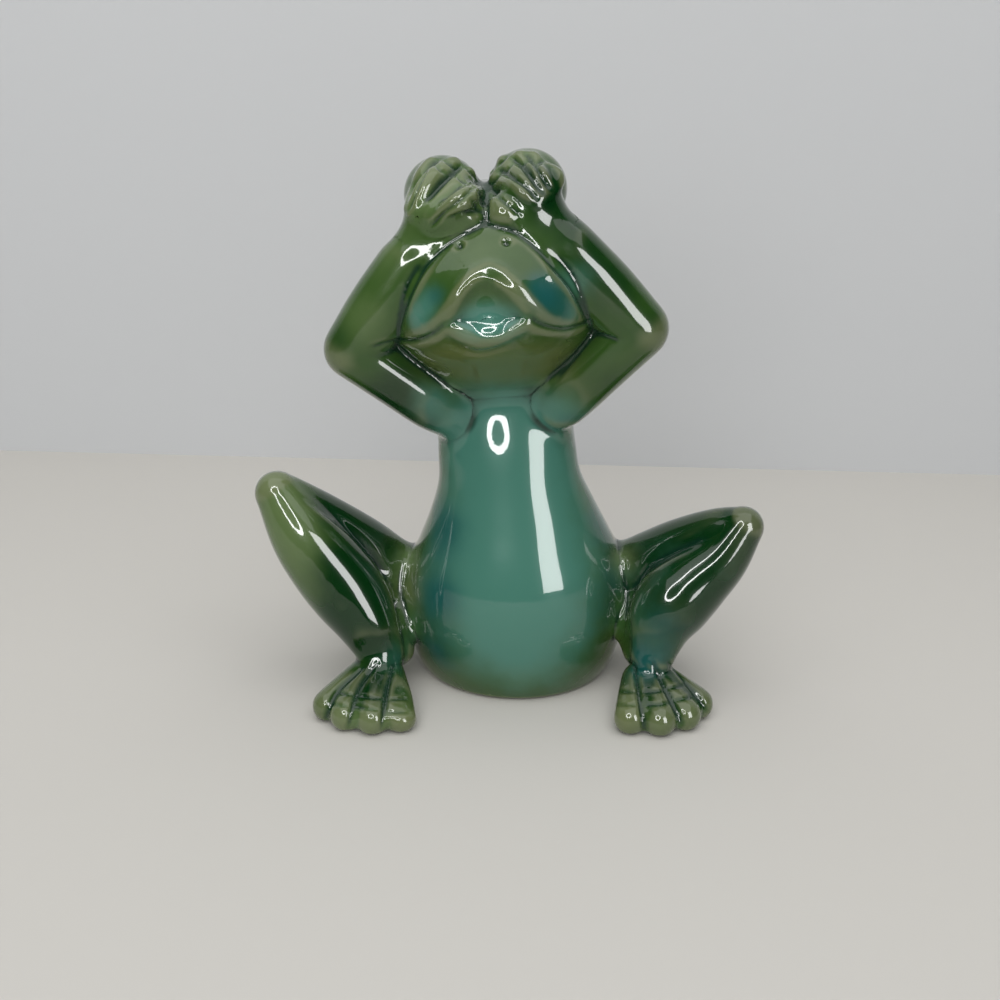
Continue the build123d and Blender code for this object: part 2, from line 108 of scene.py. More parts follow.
# Rise along the spine, width, depth, set-back and sway of each oval, as shares of the piece's own sizes,
# and how far its front half bulges, as a share of its back half
TORSO_OVAL_SHARES = (
    (-0.05, 0.748, 0.78, 0.16, -0.024, 1.0),
    (0.05, 0.90, 0.93, 0.16, -0.024, 1.0),
    (0.16, 0.978, 0.99, 0.16, -0.023, 1.0),
    (0.27, 1.0, 1.0, 0.16, -0.021, 0.99),
    (0.38, 0.944, 0.955, 0.158, -0.012, 0.98),
    (0.48, 0.829, 0.865, 0.15, -0.005, 0.96),
    (0.58, 0.714, 0.76, 0.118, 0.0, 0.87),
    (0.69, 0.609, 0.665, 0.104, 0.0, 0.80),
    (0.80, 0.592, 0.61, 0.118, 0.0, 0.77),
    (0.92, 0.596, 0.585, 0.167, 0.0, 0.77),
    (1.05, 0.60, 0.45, 0.228, 0.0, 1.0),
)
HEAD_OVAL_SHARES = (
    (-0.05, 0.655, 0.53, 0.207, 0.0, 0.86),
    (0.12, 0.81, 0.71, 0.118, 0.0, 0.90),
    (0.28, 0.97, 0.88, 0.06, 0.0, 1.0),
    (0.43, 1.0, 0.98, 0.03, 0.0, 1.0),
    (0.60, 0.93, 1.0, 0.02, 0.0, 0.95),
    (0.75, 0.80, 0.92, 0.03, 0.0, 0.85),
    (0.88, 0.63, 0.74, 0.05, 0.0, 0.80),
    (1.0, 0.40, 0.46, 0.08, 0.0, 0.82),
    (1.05, 0.20, 0.22, 0.09, 0.0, 0.85),
)

# Places in the leaning frame of the spine: across, back and up, for the +X side
SHOULDER_PLACE = Vector((0.0148, -0.001, 0.0751))
ELBOW_PLACE = Vector((0.0341, -0.008, 0.0939))
WRIST_PLACE = Vector((0.0143, -0.0072, 0.1180))
EYE_PLACE = Vector((0.0101, 0.002, 0.127))
HEEL_PLACE = Vector((0.0048, -0.010, 0.123))
TONGUE_PLACE = Vector((0.0, -0.0185, 0.0994))
HAND_TILT = radians(20)
PALM_SINK_SHARE = 0.5
# Share of the way from a finger's root to its tip, its radius as a share of the finger's,
# and its sink in millimetres
FINGER_SHAPE = ((0, 0.6, 2.2), (0.3, 0.95, 1.6), (0.7, 1.0, 1.35), (1, 0.88, 1.25))

# Thigh, shank, haunch web and fold of each leg: places and radii in millimetres
LEG_LIMBS = {
    "left": (
        ((-31.5, 10.0, 24.9, 8.8),
         (-40.0, 5.1, 33.4, 8.7),
         (-48.3, 0.8, 41.7, 7.6),
         (-54.3, -3.2, 48.0, 6.5),
         (-58.7, -5.9, 52.4, 5.6)),
        ((-58.5, -6.9, 52.5, 5.7),
         (-52.2, -8.0, 42.0, 8.5),
         (-46.0, -8.3, 33.2, 9.7),
         (-40.4, -9.3, 26.0, 9.7),
         (-36.2, -11.2, 19.9, 8.3),
         (-32.1, -14.0, 12.3, 5.9)),
        ((-31.3, 8, 24.5, 6.5), (-29.3, 1, 16.6, 5.2), (-28.9, -8, 10.4, 5.0)),
        ((-34.5, 8, 27.0, 6.5), (-37.0, -2, 22.5, 6.2), (-38.2, -10.5, 19.0, 5.6)),
    ),
    "right": (
        ((32.1, 10.0, 25.8, 8.8),
         (38.7, 5.1, 31.0, 9.0),
         (45.9, 0.8, 37.3, 8.2),
         (53.3, -3.2, 43.1, 6.7),
         (59.1, -5.9, 46.2, 5.4)),
        ((59.0, -6.4, 46.4, 5.4),
         (54.0, -7.0, 38.3, 7.4),
         (47.9, -7.3, 31.9, 9.2),
         (42.5, -8.8, 26.2, 9.8),
         (39.3, -10.7, 20.5, 8.5),
         (37.7, -14.0, 14.2, 5.9)),
        ((32.0, 8, 25.5, 6.5), (32.1, 1, 18.4, 5.2), (34.9, -8, 12.4, 5.0)),
        ((35.8, 8.5, 28.0, 6.5), (39.0, -1.5, 22.5, 6.2), (41.0, -10.5, 18.0, 5.6)),
    ),
}
ANKLE_PLACES = {"left": Vector((-0.0326, -0.0135, 0.0105)), "right": Vector((0.0362, -0.0135, 0.0105))}
# Length of each foot, turn of its inner toe and turn from toe to toe
FOOT_FANS = {
    "left": (0.0184, radians(67), radians(21.5)),
    "right": (0.0154, radians(72), radians(27)),
}
TOE_REACH_SHARES = (1.0, 1.0, 0.98, 0.92)
TOE_ROOT_SHARE = 0.12
WEB_REACH_SHARE = 0.84
WEB_RADIUS_SHARE = 0.86
INSTEP_HEIGHT = 0.0066
TOE_HEIGHT = 0.0033

# Middle lines of the fingers, from knuckle to tip, in pixels of the picture
FINGER_LINES = {
    "left": (
        ((409, 215), (413, 193), (421, 174), (430, 161)),
        ((412, 222), (421, 205), (432, 185), (443, 168), (455, 160)),
        ((424, 224), (437, 208), (450, 192), (462, 178), (474, 169)),
        ((434, 228), (450, 214), (466, 202), (480, 192)),
    ),
    "right": (
        ((536, 212), (516, 195), (501, 183), (489, 173)),
        ((542, 206), (526, 186), (513, 170), (501, 159)),
        ((549, 201), (538, 181), (528, 165), (519, 154)),
        ((557, 197), (550, 181), (542, 167), (533, 155)),
    ),
}

# Mouth opening between the lips, in pixels of the picture
MOUTH_LINE = (
    (400, 338), (418, 337), (431.6, 332.5), (442.4, 325), (450, 313.3), (456, 301), (465.3, 287.2),
    (476, 279.6), (488.3, 276.5), (497.5, 281), (509.7, 290.3), (522, 304), (531, 316.3), (546.4, 324),
    (561.8, 327), (577, 324.5), (587, 321.5), (572, 330), (552, 331), (537, 327), (527, 323), (513, 331),
    (502.5, 337), (484, 340), (466, 334), (452, 328), (440, 333), (427, 339), (411, 342.5),
)
MOUTH_DEPTH = 2.8 * MM
MOUTH_EASE = 9.0
MOUTH_MIDDLE = (488, 300)
MOUTH_REACH = 8 * MM

# Carved lines on the ware: path in pixels of the picture, depth and width in millimetres.
# A negative depth raises a ridge.
FACE_LINES = (
    # brow groove, left and right of its peak
    (((398, 332), (404, 313), (409.5, 298), (416.5, 282.5), (425.5, 267), (436, 255), (448.5, 244.5),
      (465, 233.5), (485, 224.5)), 0.4, 0.8),
    (((591, 327), (584.5, 315), (575.5, 298), (566, 282.5), (554, 269), (540.5, 253), (526.5, 240),
      (513, 230.5), (500.5, 226), (487, 224)), 0.4, 0.8),
    # face rim inside the brow groove
    (((408, 322), (413, 305), (420, 290), (429, 275), (440, 262), (453, 251), (468, 241), (486, 233)),
      -0.35, 1.5),
    (((582, 318), (574, 304), (564, 289), (552, 275), (539, 261), (525, 248), (509, 238), (490, 233)),
      -0.35, 1.5),
    # hollows beside the upper lip
    (((418, 318), (428, 303), (438, 288), (450, 272), (463, 261)), 0.4, 3.6),
    (((562, 312), (550, 300), (540, 289), (528, 275), (515, 263)), 0.25, 3.6),
    # crest of the upper lip
    (((403, 333), (414, 331.5), (427, 327), (437, 319.5), (448.5, 306), (457.5, 291.5), (469, 276.5),
      (482, 268),
      (491, 266), (502, 270.5), (513, 279.5), (525, 292), (537, 305.5), (548, 316), (563, 322),
      (577, 319)), -0.6, 1.9),
    # lower lip
    (((396, 341.5), (410, 346), (425, 344.5), (439, 337), (448, 331.5), (460, 337.5), (474, 343.5),
      (488, 344),
      (502, 340), (515, 332.5), (527, 327.5), (537, 331), (559, 335), (574, 334), (588, 327)), -0.45, 1.6),
    # corners of the mouth between the lips
    (((397, 340), (410, 340.5), (424, 337.5), (436, 331), (445, 323)), 0.55, 0.6),
    (((530, 317), (540, 323.5), (552, 327.5), (566, 328.5), (580, 325), (591, 321)), 0.55, 0.6),
    # below the lower lip
    (((447, 343), (462, 350), (480, 354), (497, 349), (512, 342)), 0.35, 1.6),
    # edges of the chin against the upper arms, and under the chin
    (((395, 342), (411, 357), (430, 374), (453, 394)), 0.3, 0.8),
    (((594, 330), (582, 347), (566, 369), (548, 391)), 0.3, 0.8),
    (((453, 392), (475, 389), (500, 388), (525, 388), (548, 390)), 0.12, 1.6),
    # dimple of the tongue
    (((471, 318), (478, 314), (488, 312.5), (498, 314), (505, 318), (498, 322.5), (488, 324),
      (478, 322.5), (471, 318)),
     0.15, 0.8),
    # inner bend of the elbows
    (((371, 348), (383, 344), (396, 340)), 0.35, 0.7),
    (((595, 331), (606, 336), (618, 340)), 0.35, 0.7),
)
NOSTRILS = ((460, 246), (506.5, 242.5))
NOSTRIL_DEPTH = 1.3
NOSTRIL_WIDTH = 0.75

HAND_LINES = (
    # left hand: between the fingers
    (((408.5, 210), (414, 193), (422, 176), (430, 166), (437, 160)), 1.0, 0.7),
    (((428.5, 199), (441, 184), (455, 171), (461, 166)), 1.0, 0.7),
    (((431, 226), (447, 210), (467, 193.5), (481, 178.5)), 1.0, 0.7),
    (((447, 219), (462, 213), (474, 211), (485, 212)), 0.5, 0.6),
    # left hand: knuckles
    (((436, 164), (440, 169), (446, 173)), 0.5, 0.6),
    (((445, 160), (450, 164), (455, 168)), 0.5, 0.6),
    (((456, 173), (460, 179), (466, 184)), 0.5, 0.6),
    (((466, 167), (471, 172), (476, 178)), 0.5, 0.6),
    (((470, 197), (474, 203), (479, 209)), 0.5, 0.6),
    (((477, 189), (481, 195), (485, 202)), 0.5, 0.6),
    # right hand: between the fingers
    (((494, 192), (506, 203), (519.5, 214.5)), 0.6, 0.6),
    (((500, 170), (513, 177), (528, 187), (537, 198)), 1.0, 0.7),
    (((512, 158), (523, 166), (533, 179), (542, 192)), 1.0, 0.7),
    (((526, 153), (534, 162.5), (542, 176), (550, 188)), 1.0, 0.7),
    # right hand: knuckles
    (((500, 174), (496, 179), (491, 184)), 0.5, 0.6),
    (((494, 167), (490, 173), (486, 178)), 0.5, 0.6),
    (((513, 162), (509, 167), (504, 172)), 0.5, 0.6),
    (((506, 157), (502, 161), (498, 165)), 0.5, 0.6),
    (((530, 158), (526, 161), (521, 165)), 0.5, 0.6),
    (((543, 160), (539, 163), (534, 166)), 0.5, 0.6),
    # cleft between the hands
    (((487, 224), (487, 208), (487, 192)), 0.7, 0.6),
)

FOOT_LINES = (
    # left foot: between the toes
    (((394, 664), (388, 686), (384, 712), (382, 730)), 0.8, 0.7),
    (((376, 664), (360, 686), (352, 710), (348, 730)), 0.8, 0.7),
    (((363, 668), (338, 690), (329, 708), (325, 722)), 0.8, 0.7),
    # left foot: knuckles
    (((389, 700), (396, 699), (408, 699)), 0.35, 0.6),
    (((387, 712), (395, 712), (408, 712)), 0.35, 0.6),
    (((357, 696), (368, 697.5), (382, 699)), 0.35, 0.6),
    (((353, 706), (365, 708), (379, 710)), 0.35, 0.6),
    (((336, 692), (345, 694), (355, 695)), 0.35, 0.6),
    (((331, 703), (340, 705), (350, 706)), 0.35, 0.6),
    # right foot: between the toes
    (((634, 664), (639, 693), (642, 712), (644, 728)), 0.8, 0.7),
    (((652, 661), (666, 690), (675, 708), (682, 724)), 0.8, 0.7),
    (((667, 662), (686, 682), (698, 697), (707, 711)), 0.8, 0.7),
    # right foot: knuckles
    (((614, 691), (625, 691.5), (636, 692)), 0.35, 0.6),
    (((613, 704), (625, 704.5), (638, 705)), 0.35, 0.6),
    (((643, 692), (655, 691.5), (664, 690)), 0.35, 0.6),
    (((646, 705), (658, 704.5), (670, 702)), 0.35, 0.6),
    (((669, 688), (678, 686.5), (686, 684)), 0.35, 0.6),
    (((676, 700), (686, 698), (695, 695)), 0.35, 0.6),
    # ankles
    (((361, 657), (376, 655), (392, 654)), 0.15, 1.2),
    (((672, 652), (655, 653), (640, 652)), 0.15, 1.2),
)

LEG_LINES = (
    # folds between thigh and shank
    (((302, 496), (334, 520), (360, 544), (378, 566), (394, 589)), 0.5, 1.4),
    (((631, 589), (649, 571), (668, 557), (686, 547), (702, 538)), 0.5, 1.4),
    # edges of the thighs against the belly
    (((407, 547), (402, 566), (400, 588), (406, 614), (411, 640), (421, 668)), 0.15, 0.8),
    (((619, 555), (624, 576), (627, 596), (625, 628)), 0.15, 0.8),
)

# Seams that are sponged softer: place in pixels of the picture and reach in millimetres
SPONGED = (
    ((451, 412), 6), ((446, 436), 6), ((556, 405), 6), ((570, 432), 6), ((470, 390), 7),
    ((500, 389), 7), ((530, 389), 7), ((404, 222), 6), ((424, 232), 6), ((562, 208), 6),
    ((544, 216), 6), ((552, 196), 5), ((400, 222), 6), ((548, 232), 6), ((538, 222), 5),
    ((436, 240), 6), ((446, 230), 5), ((404, 560), 6), ((402, 590), 6), ((408, 620), 6),
    ((416, 650), 5), ((622, 570), 6), ((626, 600), 6), ((626, 632), 6), ((372, 656), 5),
    ((392, 655), 5), ((664, 654), 5), ((645, 655), 5),
)
SOFT_ROUNDS = 140
# Shoulders, hips and nape, where the castings run into each other out of the picture's sight
BLENDED = ((-0.017, 0.006, 0.073), (0.012, 0.006, 0.075), (-0.033, 0.016, 0.025), (0.034, 0.016, 0.026))
BLEND_REACH = 11 * MM
NAPE = (-0.003, 0.030, 0.080)
NAPE_REACH = (0.030, 0.024, 0.007)

# Sprayed glaze of each mask, with painted light in some pale and yellowish green sprays: place in pixels of
# the picture, reach in millimetres and strength
SPRAYS = {
    "teal": (
        (486, 435, 11, 1.0), (520, 425, 9, 0.9), (510, 480, 16, 1.0), (515, 560, 25, 1.0),
        (520, 625, 15, 1.0), (468, 325, 4, 0.7), (488, 321, 4.5, 0.8), (508, 324, 4, 0.7),
        (416, 318, 4, 0.55), (427, 305, 4, 0.55), (572, 280, 5, 0.4), (570, 318, 4, 0.4),
        (430, 400, 5, 0.4), (565, 410, 5, 0.4),
    ),
    "blue": (
        (440, 600, 8, 0.65), (445, 530, 8, 0.55), (435, 650, 7, 0.5), (605, 600, 9, 0.4),
        (600, 520, 8, 0.5), (588, 470, 6, 0.5), (538, 288, 4, 0.45), (550, 300, 5, 0.6),
        (562, 312, 4, 0.4), (437, 296, 3.5, 0.4), (665, 630, 8, 0.35), (645, 660, 6, 0.7),
        (395, 660, 5, 0.5),
    ),
    # yellowish green: glaze on the chin and flanks, lightened as painted light on the chin, which lies in
    # shade; the sprays at the foot of the belly are a painted reflection of the wooden table
    "olive": (
        (500, 368, 12, 0.9), (460, 362, 8, 0.9), (545, 362, 8, 0.8), (520, 700, 8, 0.65),
        (470, 694, 7, 0.6), (570, 692, 7, 0.6), (440, 366, 6, 0.5), (422, 660, 8, 0.7),
        (612, 650, 8, 0.6), (414, 585, 6, 0.8), (620, 560, 6, 0.6), (436, 480, 5, 0.4),
    ),
    # pale green: thin glaze on the raised parts; on the chin it is painted light against the chin's shade,
    # and on the snout a painted soft highlight
    "sage": (
        (275, 485, 7, 1.0), (283, 520, 8, 0.9), (295, 548, 8, 0.8), (315, 585, 7, 0.5),
        (430, 180, 9, 1.0), (470, 185, 6, 0.7), (505, 165, 5, 0.5), (530, 155, 5, 0.4),
        (340, 722, 5, 0.8), (366, 726, 5, 0.8), (400, 722, 5, 0.8), (625, 724, 5, 0.2),
        (658, 726, 5, 0.2), (690, 712, 5, 0.15), (485, 250, 10, 0.4), (362, 315, 9, 0.5),
        (395, 250, 7, 0.5), (412, 560, 5, 0.9), (416, 592, 4, 0.9), (500, 368, 10, 0.9),
    ),
    # dark green in patches, most on the right leg and arm and in the folds of the left leg
    "deep": (
        (575, 225, 9, 0.55), (600, 258, 10, 0.5), (625, 290, 7, 0.5), (395, 395, 9, 0.9),
        (425, 425, 7, 0.7), (600, 385, 8, 0.4), (335, 340, 6, 0.4), (655, 325, 6, 0.5),
        (700, 545, 19, 1.0), (745, 515, 9, 0.9), (735, 555, 10, 1.0), (690, 600, 11, 1.0),
        (665, 535, 11, 1.0), (630, 560, 7, 0.8), (350, 570, 9, 1.0), (340, 512, 9, 1.0),
        (375, 535, 9, 0.9), (365, 600, 9, 0.9), (350, 628, 8, 1.0), (372, 640, 6, 0.9),
        (375, 685, 8, 0.9), (545, 190, 7, 0.9), (650, 685, 9, 0.8), (690, 690, 6, 0.7),
    ),
}

# Working of the clay
CLAY_ROUNDS = 6
TORSO_GRAIN = 1.15
FOOT_EASE = 0.6 * MM
DRAIN_PLACE = Vector((0.0049, 0.0065, 0))
DRAIN_DEPTH = 9 * MM
UNDERLAP = 0.12 * MM
OWNER_ROUNDS = 6
TONGUE_STATIONS = ((-1, 0.35), (-0.5, 0.8), (0, 1), (0.5, 0.8), (1, 0.35))
UPPER_ARM_SHARE = 0.5
FOREARM_BULGE_SHARE = 0.42
HEEL_FIT_SHARE = 0.94
TOE_WAIST_SHARE = 0.6

# Glazes from the lowest to the top, and those that follow their mask without drifts
GLAZE_ORDER = ("sage", "deep", "olive", "teal", "blue", "pool", "bare", "bisque")
GLAZE_MASK = {"bare": "thin"}
PLAIN_MASKS = ("pool", "bare", "bisque")

# Lamp round the camera
RING_LAMP_PLACE = Vector((-0.072, -0.272, 0.252))
RING_LAMP_TARGET = Vector((-0.005, -0.006, 0.072))
RING_LAMP_RADIUS = 0.088
RING_LAMP_BAND = 0.022
RING_LAMP_STRENGTH = 26


def length(name, description, default):
    """A size of the figure, in metres."""
    return FloatProperty(
        name=name, description=description, default=default, min=0, unit="LENGTH", precision=5
    )


def colour(name, description, default):
    """A glaze colour."""
    return FloatVectorProperty(
        name=name, description=description, default=default, size=3, min=0, max=1, subtype="COLOR"
    )


class FrogSizes(bpy.types.PropertyGroup):
    """Sizes of the clay forms and of the working of the clay."""

    lean: FloatProperty(name="Lean", description="Lean of the spine", default=radians(5.5), subtype="ANGLE")
    foot_shift: length("Foot shift", "Foot of the spine from the middle", 0.0049)
    belly_width: length("Belly width", "Width of the torso at the belly", 0.0605)
    belly_depth: length("Belly depth", "Depth of the torso at the belly", 0.055)
    neck_height: length("Neck height", "Height of the torso along the spine", 0.080)
    head_width: length("Head width", "Width of the head at the mouth", 0.053)
    head_depth: length("Head depth", "Depth of the head at the snout", 0.053)
    head_height: length("Head height", "From the neck to the brow", 0.047)
    eye_radius: length("Eye radius", "Radius of the eye domes", 0.0094)
    tongue_half: length("Tongue half width", "From the middle of the tongue to its side", 0.0102)
    tongue_radius: length("Tongue radius", "Radius of the tongue at its middle", 0.0044)
    shoulder_radius: length("Shoulder radius", "Radius of the upper arm at the shoulder", 0.0070)
    elbow_radius: length("Elbow radius", "Radius of the elbow", 0.0073)
    forearm_radius: length("Forearm radius", "Radius of the forearm's bulge", 0.0079)
    wrist_radius: length("Wrist radius", "Radius of the wrist", 0.0073)
    palm_radius: length("Palm radius", "Radius of the palm", 0.0052)
    finger_radius: length("Finger radius", "Radius of the fingers", 0.0025)
    toe_radius: length("Toe radius", "Radius of the toes", 0.0043)
    instep_radius: length("Instep radius", "Radius of the foot at the instep", 0.0060)
    drain_radius: length("Drain radius", "Radius of the drain hole under the torso", 0.005)
    grain: length("Clay grain", "Voxel size of the worked clay", 0.00045)
    sponge: IntProperty(
        name="Sponging", description="Rounds of smoothing over the luted seams", default=20, min=0
    )


class FrogGlazes(bpy.types.PropertyGroup):
    """Colours of the glazes; the pale and the yellowish green also carry painted light."""

    leaf: colour("Leaf green", "Green glaze on the limbs", (0.036, 0.088, 0.016))
    sage: colour("Sage", "Thin pale glaze on the raised parts, with painted light on the shaded chin and a painted soft highlight on the snout", (0.105, 0.165, 0.058))
    deep: colour("Deep green", "Dark green sprayed in patches, most on the right leg and arm and in the folds", (0.002, 0.030, 0.005))
    olive: colour("Olive", "Yellowish glaze on chin and flanks, with painted light on the shaded chin and a painted table reflection at the belly's foot", (0.112, 0.146, 0.044))
    teal: colour("Teal", "Glaze of the belly", (0.068, 0.213, 0.162))
    blue: colour("Blue teal", "Thick glaze beside the belly and in the cheeks", (0.010, 0.095, 0.088))
    pool: colour("Pooled glaze", "Glaze that gathers in the grooves", (0.004, 0.027, 0.014))
    bare: colour("Thin edge", "Body that shows through on the edges", (0.200, 0.220, 0.115))
    bisque: colour("Bisque", "Unglazed clay under the foot", (0.62, 0.56, 0.47))


def sizes_of(context):
    """The figure's sizes."""
    return context.scene.frog_sizes


def spine_frame(sizes):
    """Matrix from the leaning frame of the spine to the table's frame."""
    return Matrix.Translation((sizes.foot_shift, 0, 0)) @ Matrix.Rotation(-sizes.lean, 4, "Y")


def spine_point(sizes, place, side):
    """A place in the leaning frame, mirrored to a side."""
    return spine_frame(sizes) @ Vector((side * place.x, place.y, place.z))


def view_axes():
    """Right, down and ahead as the camera sees them."""
    ahead = Vector((sin(VIEW_YAW) * cos(VIEW_PITCH), cos(VIEW_YAW) * cos(VIEW_PITCH), -sin(VIEW_PITCH)))
    level = Vector((cos(VIEW_YAW), -sin(VIEW_YAW), 0))
    plumb = ahead.cross(level)
    right = cos(VIEW_ROLL) * level + sin(VIEW_ROLL) * plumb
    down = cos(VIEW_ROLL) * plumb - sin(VIEW_ROLL) * level
    return right, down, ahead


def sight(pixel):
    """Direction in which the camera sees a pixel of the picture."""
    right, down, ahead = view_axes()
    across, drop = ((value - PICTURE_WIDTH / 2) / PICTURE_FOCAL for value in pixel)
    return (right * across + down * drop + ahead).normalized()


def seen_pixels(points):
    """Pixels of the picture at which the camera sees the points."""
    axes = np.array(view_axes())
    local = (points - np.array(VIEW_PLACE)) @ axes.T
    return PICTURE_WIDTH / 2 + PICTURE_FOCAL * local[:, :2] / local[:, 2:]


def seen_place(tree, pixel):
    """The place and normal of the surface that the camera sees at a pixel."""
    way = sight(pixel)
    place, normal, _, _ = tree.ray_cast(VIEW_PLACE, way)
    if place is None:
        place, normal, _, _ = tree.find_nearest(VIEW_PLACE + VIEW_REACH * way)
    return place, normal


def flowing(points, count):
    """A smooth run of points through the given ones."""
    knots = np.array([tuple(point) for point in points], float)
    ends = np.vstack((2 * knots[0] - knots[1], knots, 2 * knots[-1] - knots[-2]))
    steps = np.linspace(0, len(knots) - 1, count)
    first = np.minimum(steps.astype(int), len(knots) - 2)
    t = (steps - first)[:, None]
    a, b, c, d = (ends[first + i] for i in range(4))
    return 0.5 * (2 * b + (c - a) * t + (2 * a - 5 * b + 4 * c - d) * t**2 + (3 * b - a - 3 * c + d) * t**3)


def bridge_rings(bm, matrices, fronts=None):
    """Bridges unit circles, each placed and scaled by its matrix, into a closed form.

    Each circle's front half is drawn in by its share in fronts.
    """
    rings = []
    for index, place in enumerate(matrices):
        is_end = index in (0, len(matrices) - 1)
        circle = bmesh.ops.create_circle(bm, segments=RING_SIDES, radius=1, cap_ends=is_end)["verts"]
        if fronts is not None:
            front = [vert for vert in circle if vert.co.y < 0]
            bmesh.ops.scale(bm, vec=(1, fronts[index], 1), verts=front)
        bmesh.ops.transform(bm, matrix=place, verts=circle)
        rings.append(list(dict.fromkeys(edge for vert in circle for edge in vert.link_edges)))
    for near, far in zip(rings, rings[1:]):
        bmesh.ops.bridge_loops(bm, edges=near + far)


def stack_ovals(bm, sizes, oval_shares, foot, height, width, depth):
    """A form of ovals square to the spine."""
    spine = spine_frame(sizes)
    matrices = []
    ovals = flowing(oval_shares, STACK_RINGS)
    for rise, across, through, back, sway, _ in ovals:
        place = Matrix.Translation((sway * width, back * depth, foot + rise * height))
        matrices.append(spine @ place @ Matrix.Diagonal((across * width / 2, through * depth / 2, 1, 1)))
    bridge_rings(bm, matrices, ovals[:, 5].tolist())


def roll_limb(bm, stations):
    """A round limb with rounded ends through stations, each a point and its radius."""
    run = flowing([(*point, radius) for point, radius in stations], LIMB_RINGS)
    places = [Vector(row[:3]) for row in run]
    ways = [(after - before).normalized() for before, after in zip(places, places[1:])]
    ways = [ways[0]] + [(one + two).normalized() for one, two in zip(ways, ways[1:])] + [ways[-1]]
    start = run[0][3]
    stop = run[-1][3]
    rows = [
        (places[0] - ways[0] * start * sin(turn), ways[0], start * cos(turn))
        for turn in reversed(END_TURNS)
    ]
    rows += [(place, way, row[3]) for place, way, row in zip(places, ways, run)]
    rows += [(places[-1] + ways[-1] * stop * sin(turn), ways[-1], stop * cos(turn)) for turn in END_TURNS]
    turn = Vector((0, 0, 1)).rotation_difference(rows[0][1])
    heading = rows[0][1]
    matrices = []
    for place, way, radius in rows:
        turn = heading.rotation_difference(way) @ turn
        heading = way
        matrices.append(Matrix.LocRotScale(place, turn, (radius, radius, 1)))
    bridge_rings(bm, matrices)


def add_ball(bm, place, radius):
    """A ball of clay."""
    bmesh.ops.create_icosphere(bm, subdivisions=5, radius=radius, matrix=Matrix.Translation(place))


def read_points(mesh):
    """The places of a mesh's vertices."""
    flat = np.empty(len(mesh.vertices) * 3, np.float32)
    mesh.vertices.foreach_get("co", flat)
    return flat.reshape(-1, 3).astype(float)


def write_points(mesh, points):
    """Moves a mesh's vertices."""
    mesh.vertices.foreach_set("co", points.astype(np.float32).ravel())
    mesh.update()


def read_normals(mesh):
    """The normals of a mesh's vertices."""
    flat = np.empty(len(mesh.vertices) * 3, np.float32)
    mesh.vertex_normals.foreach_get("vector", flat)
    return flat.reshape(-1, 3).astype(float)


def read_edges(mesh):
    """Pairs of vertices joined by the edges of a mesh."""
    flat = np.empty(len(mesh.edges) * 2, np.int32)
    mesh.edges.foreach_get("vertices", flat)
    return flat.reshape(-1, 2)


def read_triangles(mesh):
    """Corners of the triangles of a mesh."""
    mesh.calc_loop_triangles()
    flat = np.empty(len(mesh.loop_triangles) * 3, np.int32)
    mesh.loop_triangles.foreach_get("vertices", flat)
    return flat.reshape(-1, 3)


def spread(values, edges, rounds):
    """Values averaged with their neighbours along the edges, over and over."""
    count = len(values)
    ends = np.concatenate((edges[:, 0], edges[:, 1]))
    others = np.concatenate((edges[:, 1], edges[:, 0]))
    share = 1 / np.maximum(np.bincount(ends, minlength=count), 1)
    columns = values.reshape(count, -1).astype(float)
    for _ in range(rounds):
        gathered = [
            np.bincount(ends, weights=column[others], minlength=count) * share for column in columns.T
        ]
        columns = np.stack(gathered, axis=1)
    return columns.reshape(values.shape)


def sit_flat(points, ease):
    """Flattens what lies below the table, with a small round at its edge."""
    height = points[:, 2]
    rounded = np.where(np.abs(height) < ease, (height + ease) ** 2 / (4 * ease), np.maximum(height, 0))
    points[:, 2] = rounded


def worked_clay(bm, name, grain, rounds):
    """Turns the forms in a bmesh into one even skin of clay, and smooths it."""
    bmesh.ops.recalc_face_normals(bm, faces=bm.faces)
    rough = bpy.data.meshes.new(name)
    bm.to_mesh(rough)
    bm.free()
    lump = bpy.data.objects.new(name, rough)
    bpy.context.scene.collection.objects.link(lump)
    skin = lump.modifiers.new("skin", "REMESH")
    skin.mode = "VOXEL"
    skin.voxel_size = grain
    skin.use_smooth_shade = True
    sponge = lump.modifiers.new("sponge", "SMOOTH")
    sponge.factor = 0.5
    sponge.iterations = rounds
    ready = lump.evaluated_get(bpy.context.evaluated_depsgraph_get())
    worked = bpy.data.meshes.new_from_object(ready)
    lump.modifiers.clear()
    lump.data = worked
    bpy.data.meshes.remove(rough)
    worked.name = name
    return lump


def set_down(bm, piece, grain):
    """Keeps a casting's clay form, with its foot flat on the table."""
    lump = worked_clay(bm, CLAY + piece, grain, CLAY_ROUNDS)
    points = read_points(lump.data)
    sit_flat(points, FOOT_EASE)
    write_points(lump.data, points)
    return lump


def inside_depth(pixels, outline):
    """How far inside an outline the pixels lie, and zero outside."""
    corners = np.array(outline, float)
    nexts = np.roll(corners, -1, axis=0)
    inside = np.zeros(len(pixels), bool)
    nearest = np.full(len(pixels), np.inf)
    for a, b in zip(corners, nexts):
        crosses = (a[1] > pixels[:, 1]) != (b[1] > pixels[:, 1])
        rise = b[1] - a[1] if b[1] != a[1] else 1
        inside ^= crosses & (pixels[:, 0] < (b[0] - a[0]) * (pixels[:, 1] - a[1]) / rise + a[0])
        way = b - a
        share = np.clip((pixels - a) @ way / (way @ way), 0, 1)
        nearest = np.minimum(nearest, np.linalg.norm(pixels - a - share[:, None] * way, axis=1))
    return np.where(inside, nearest, 0)


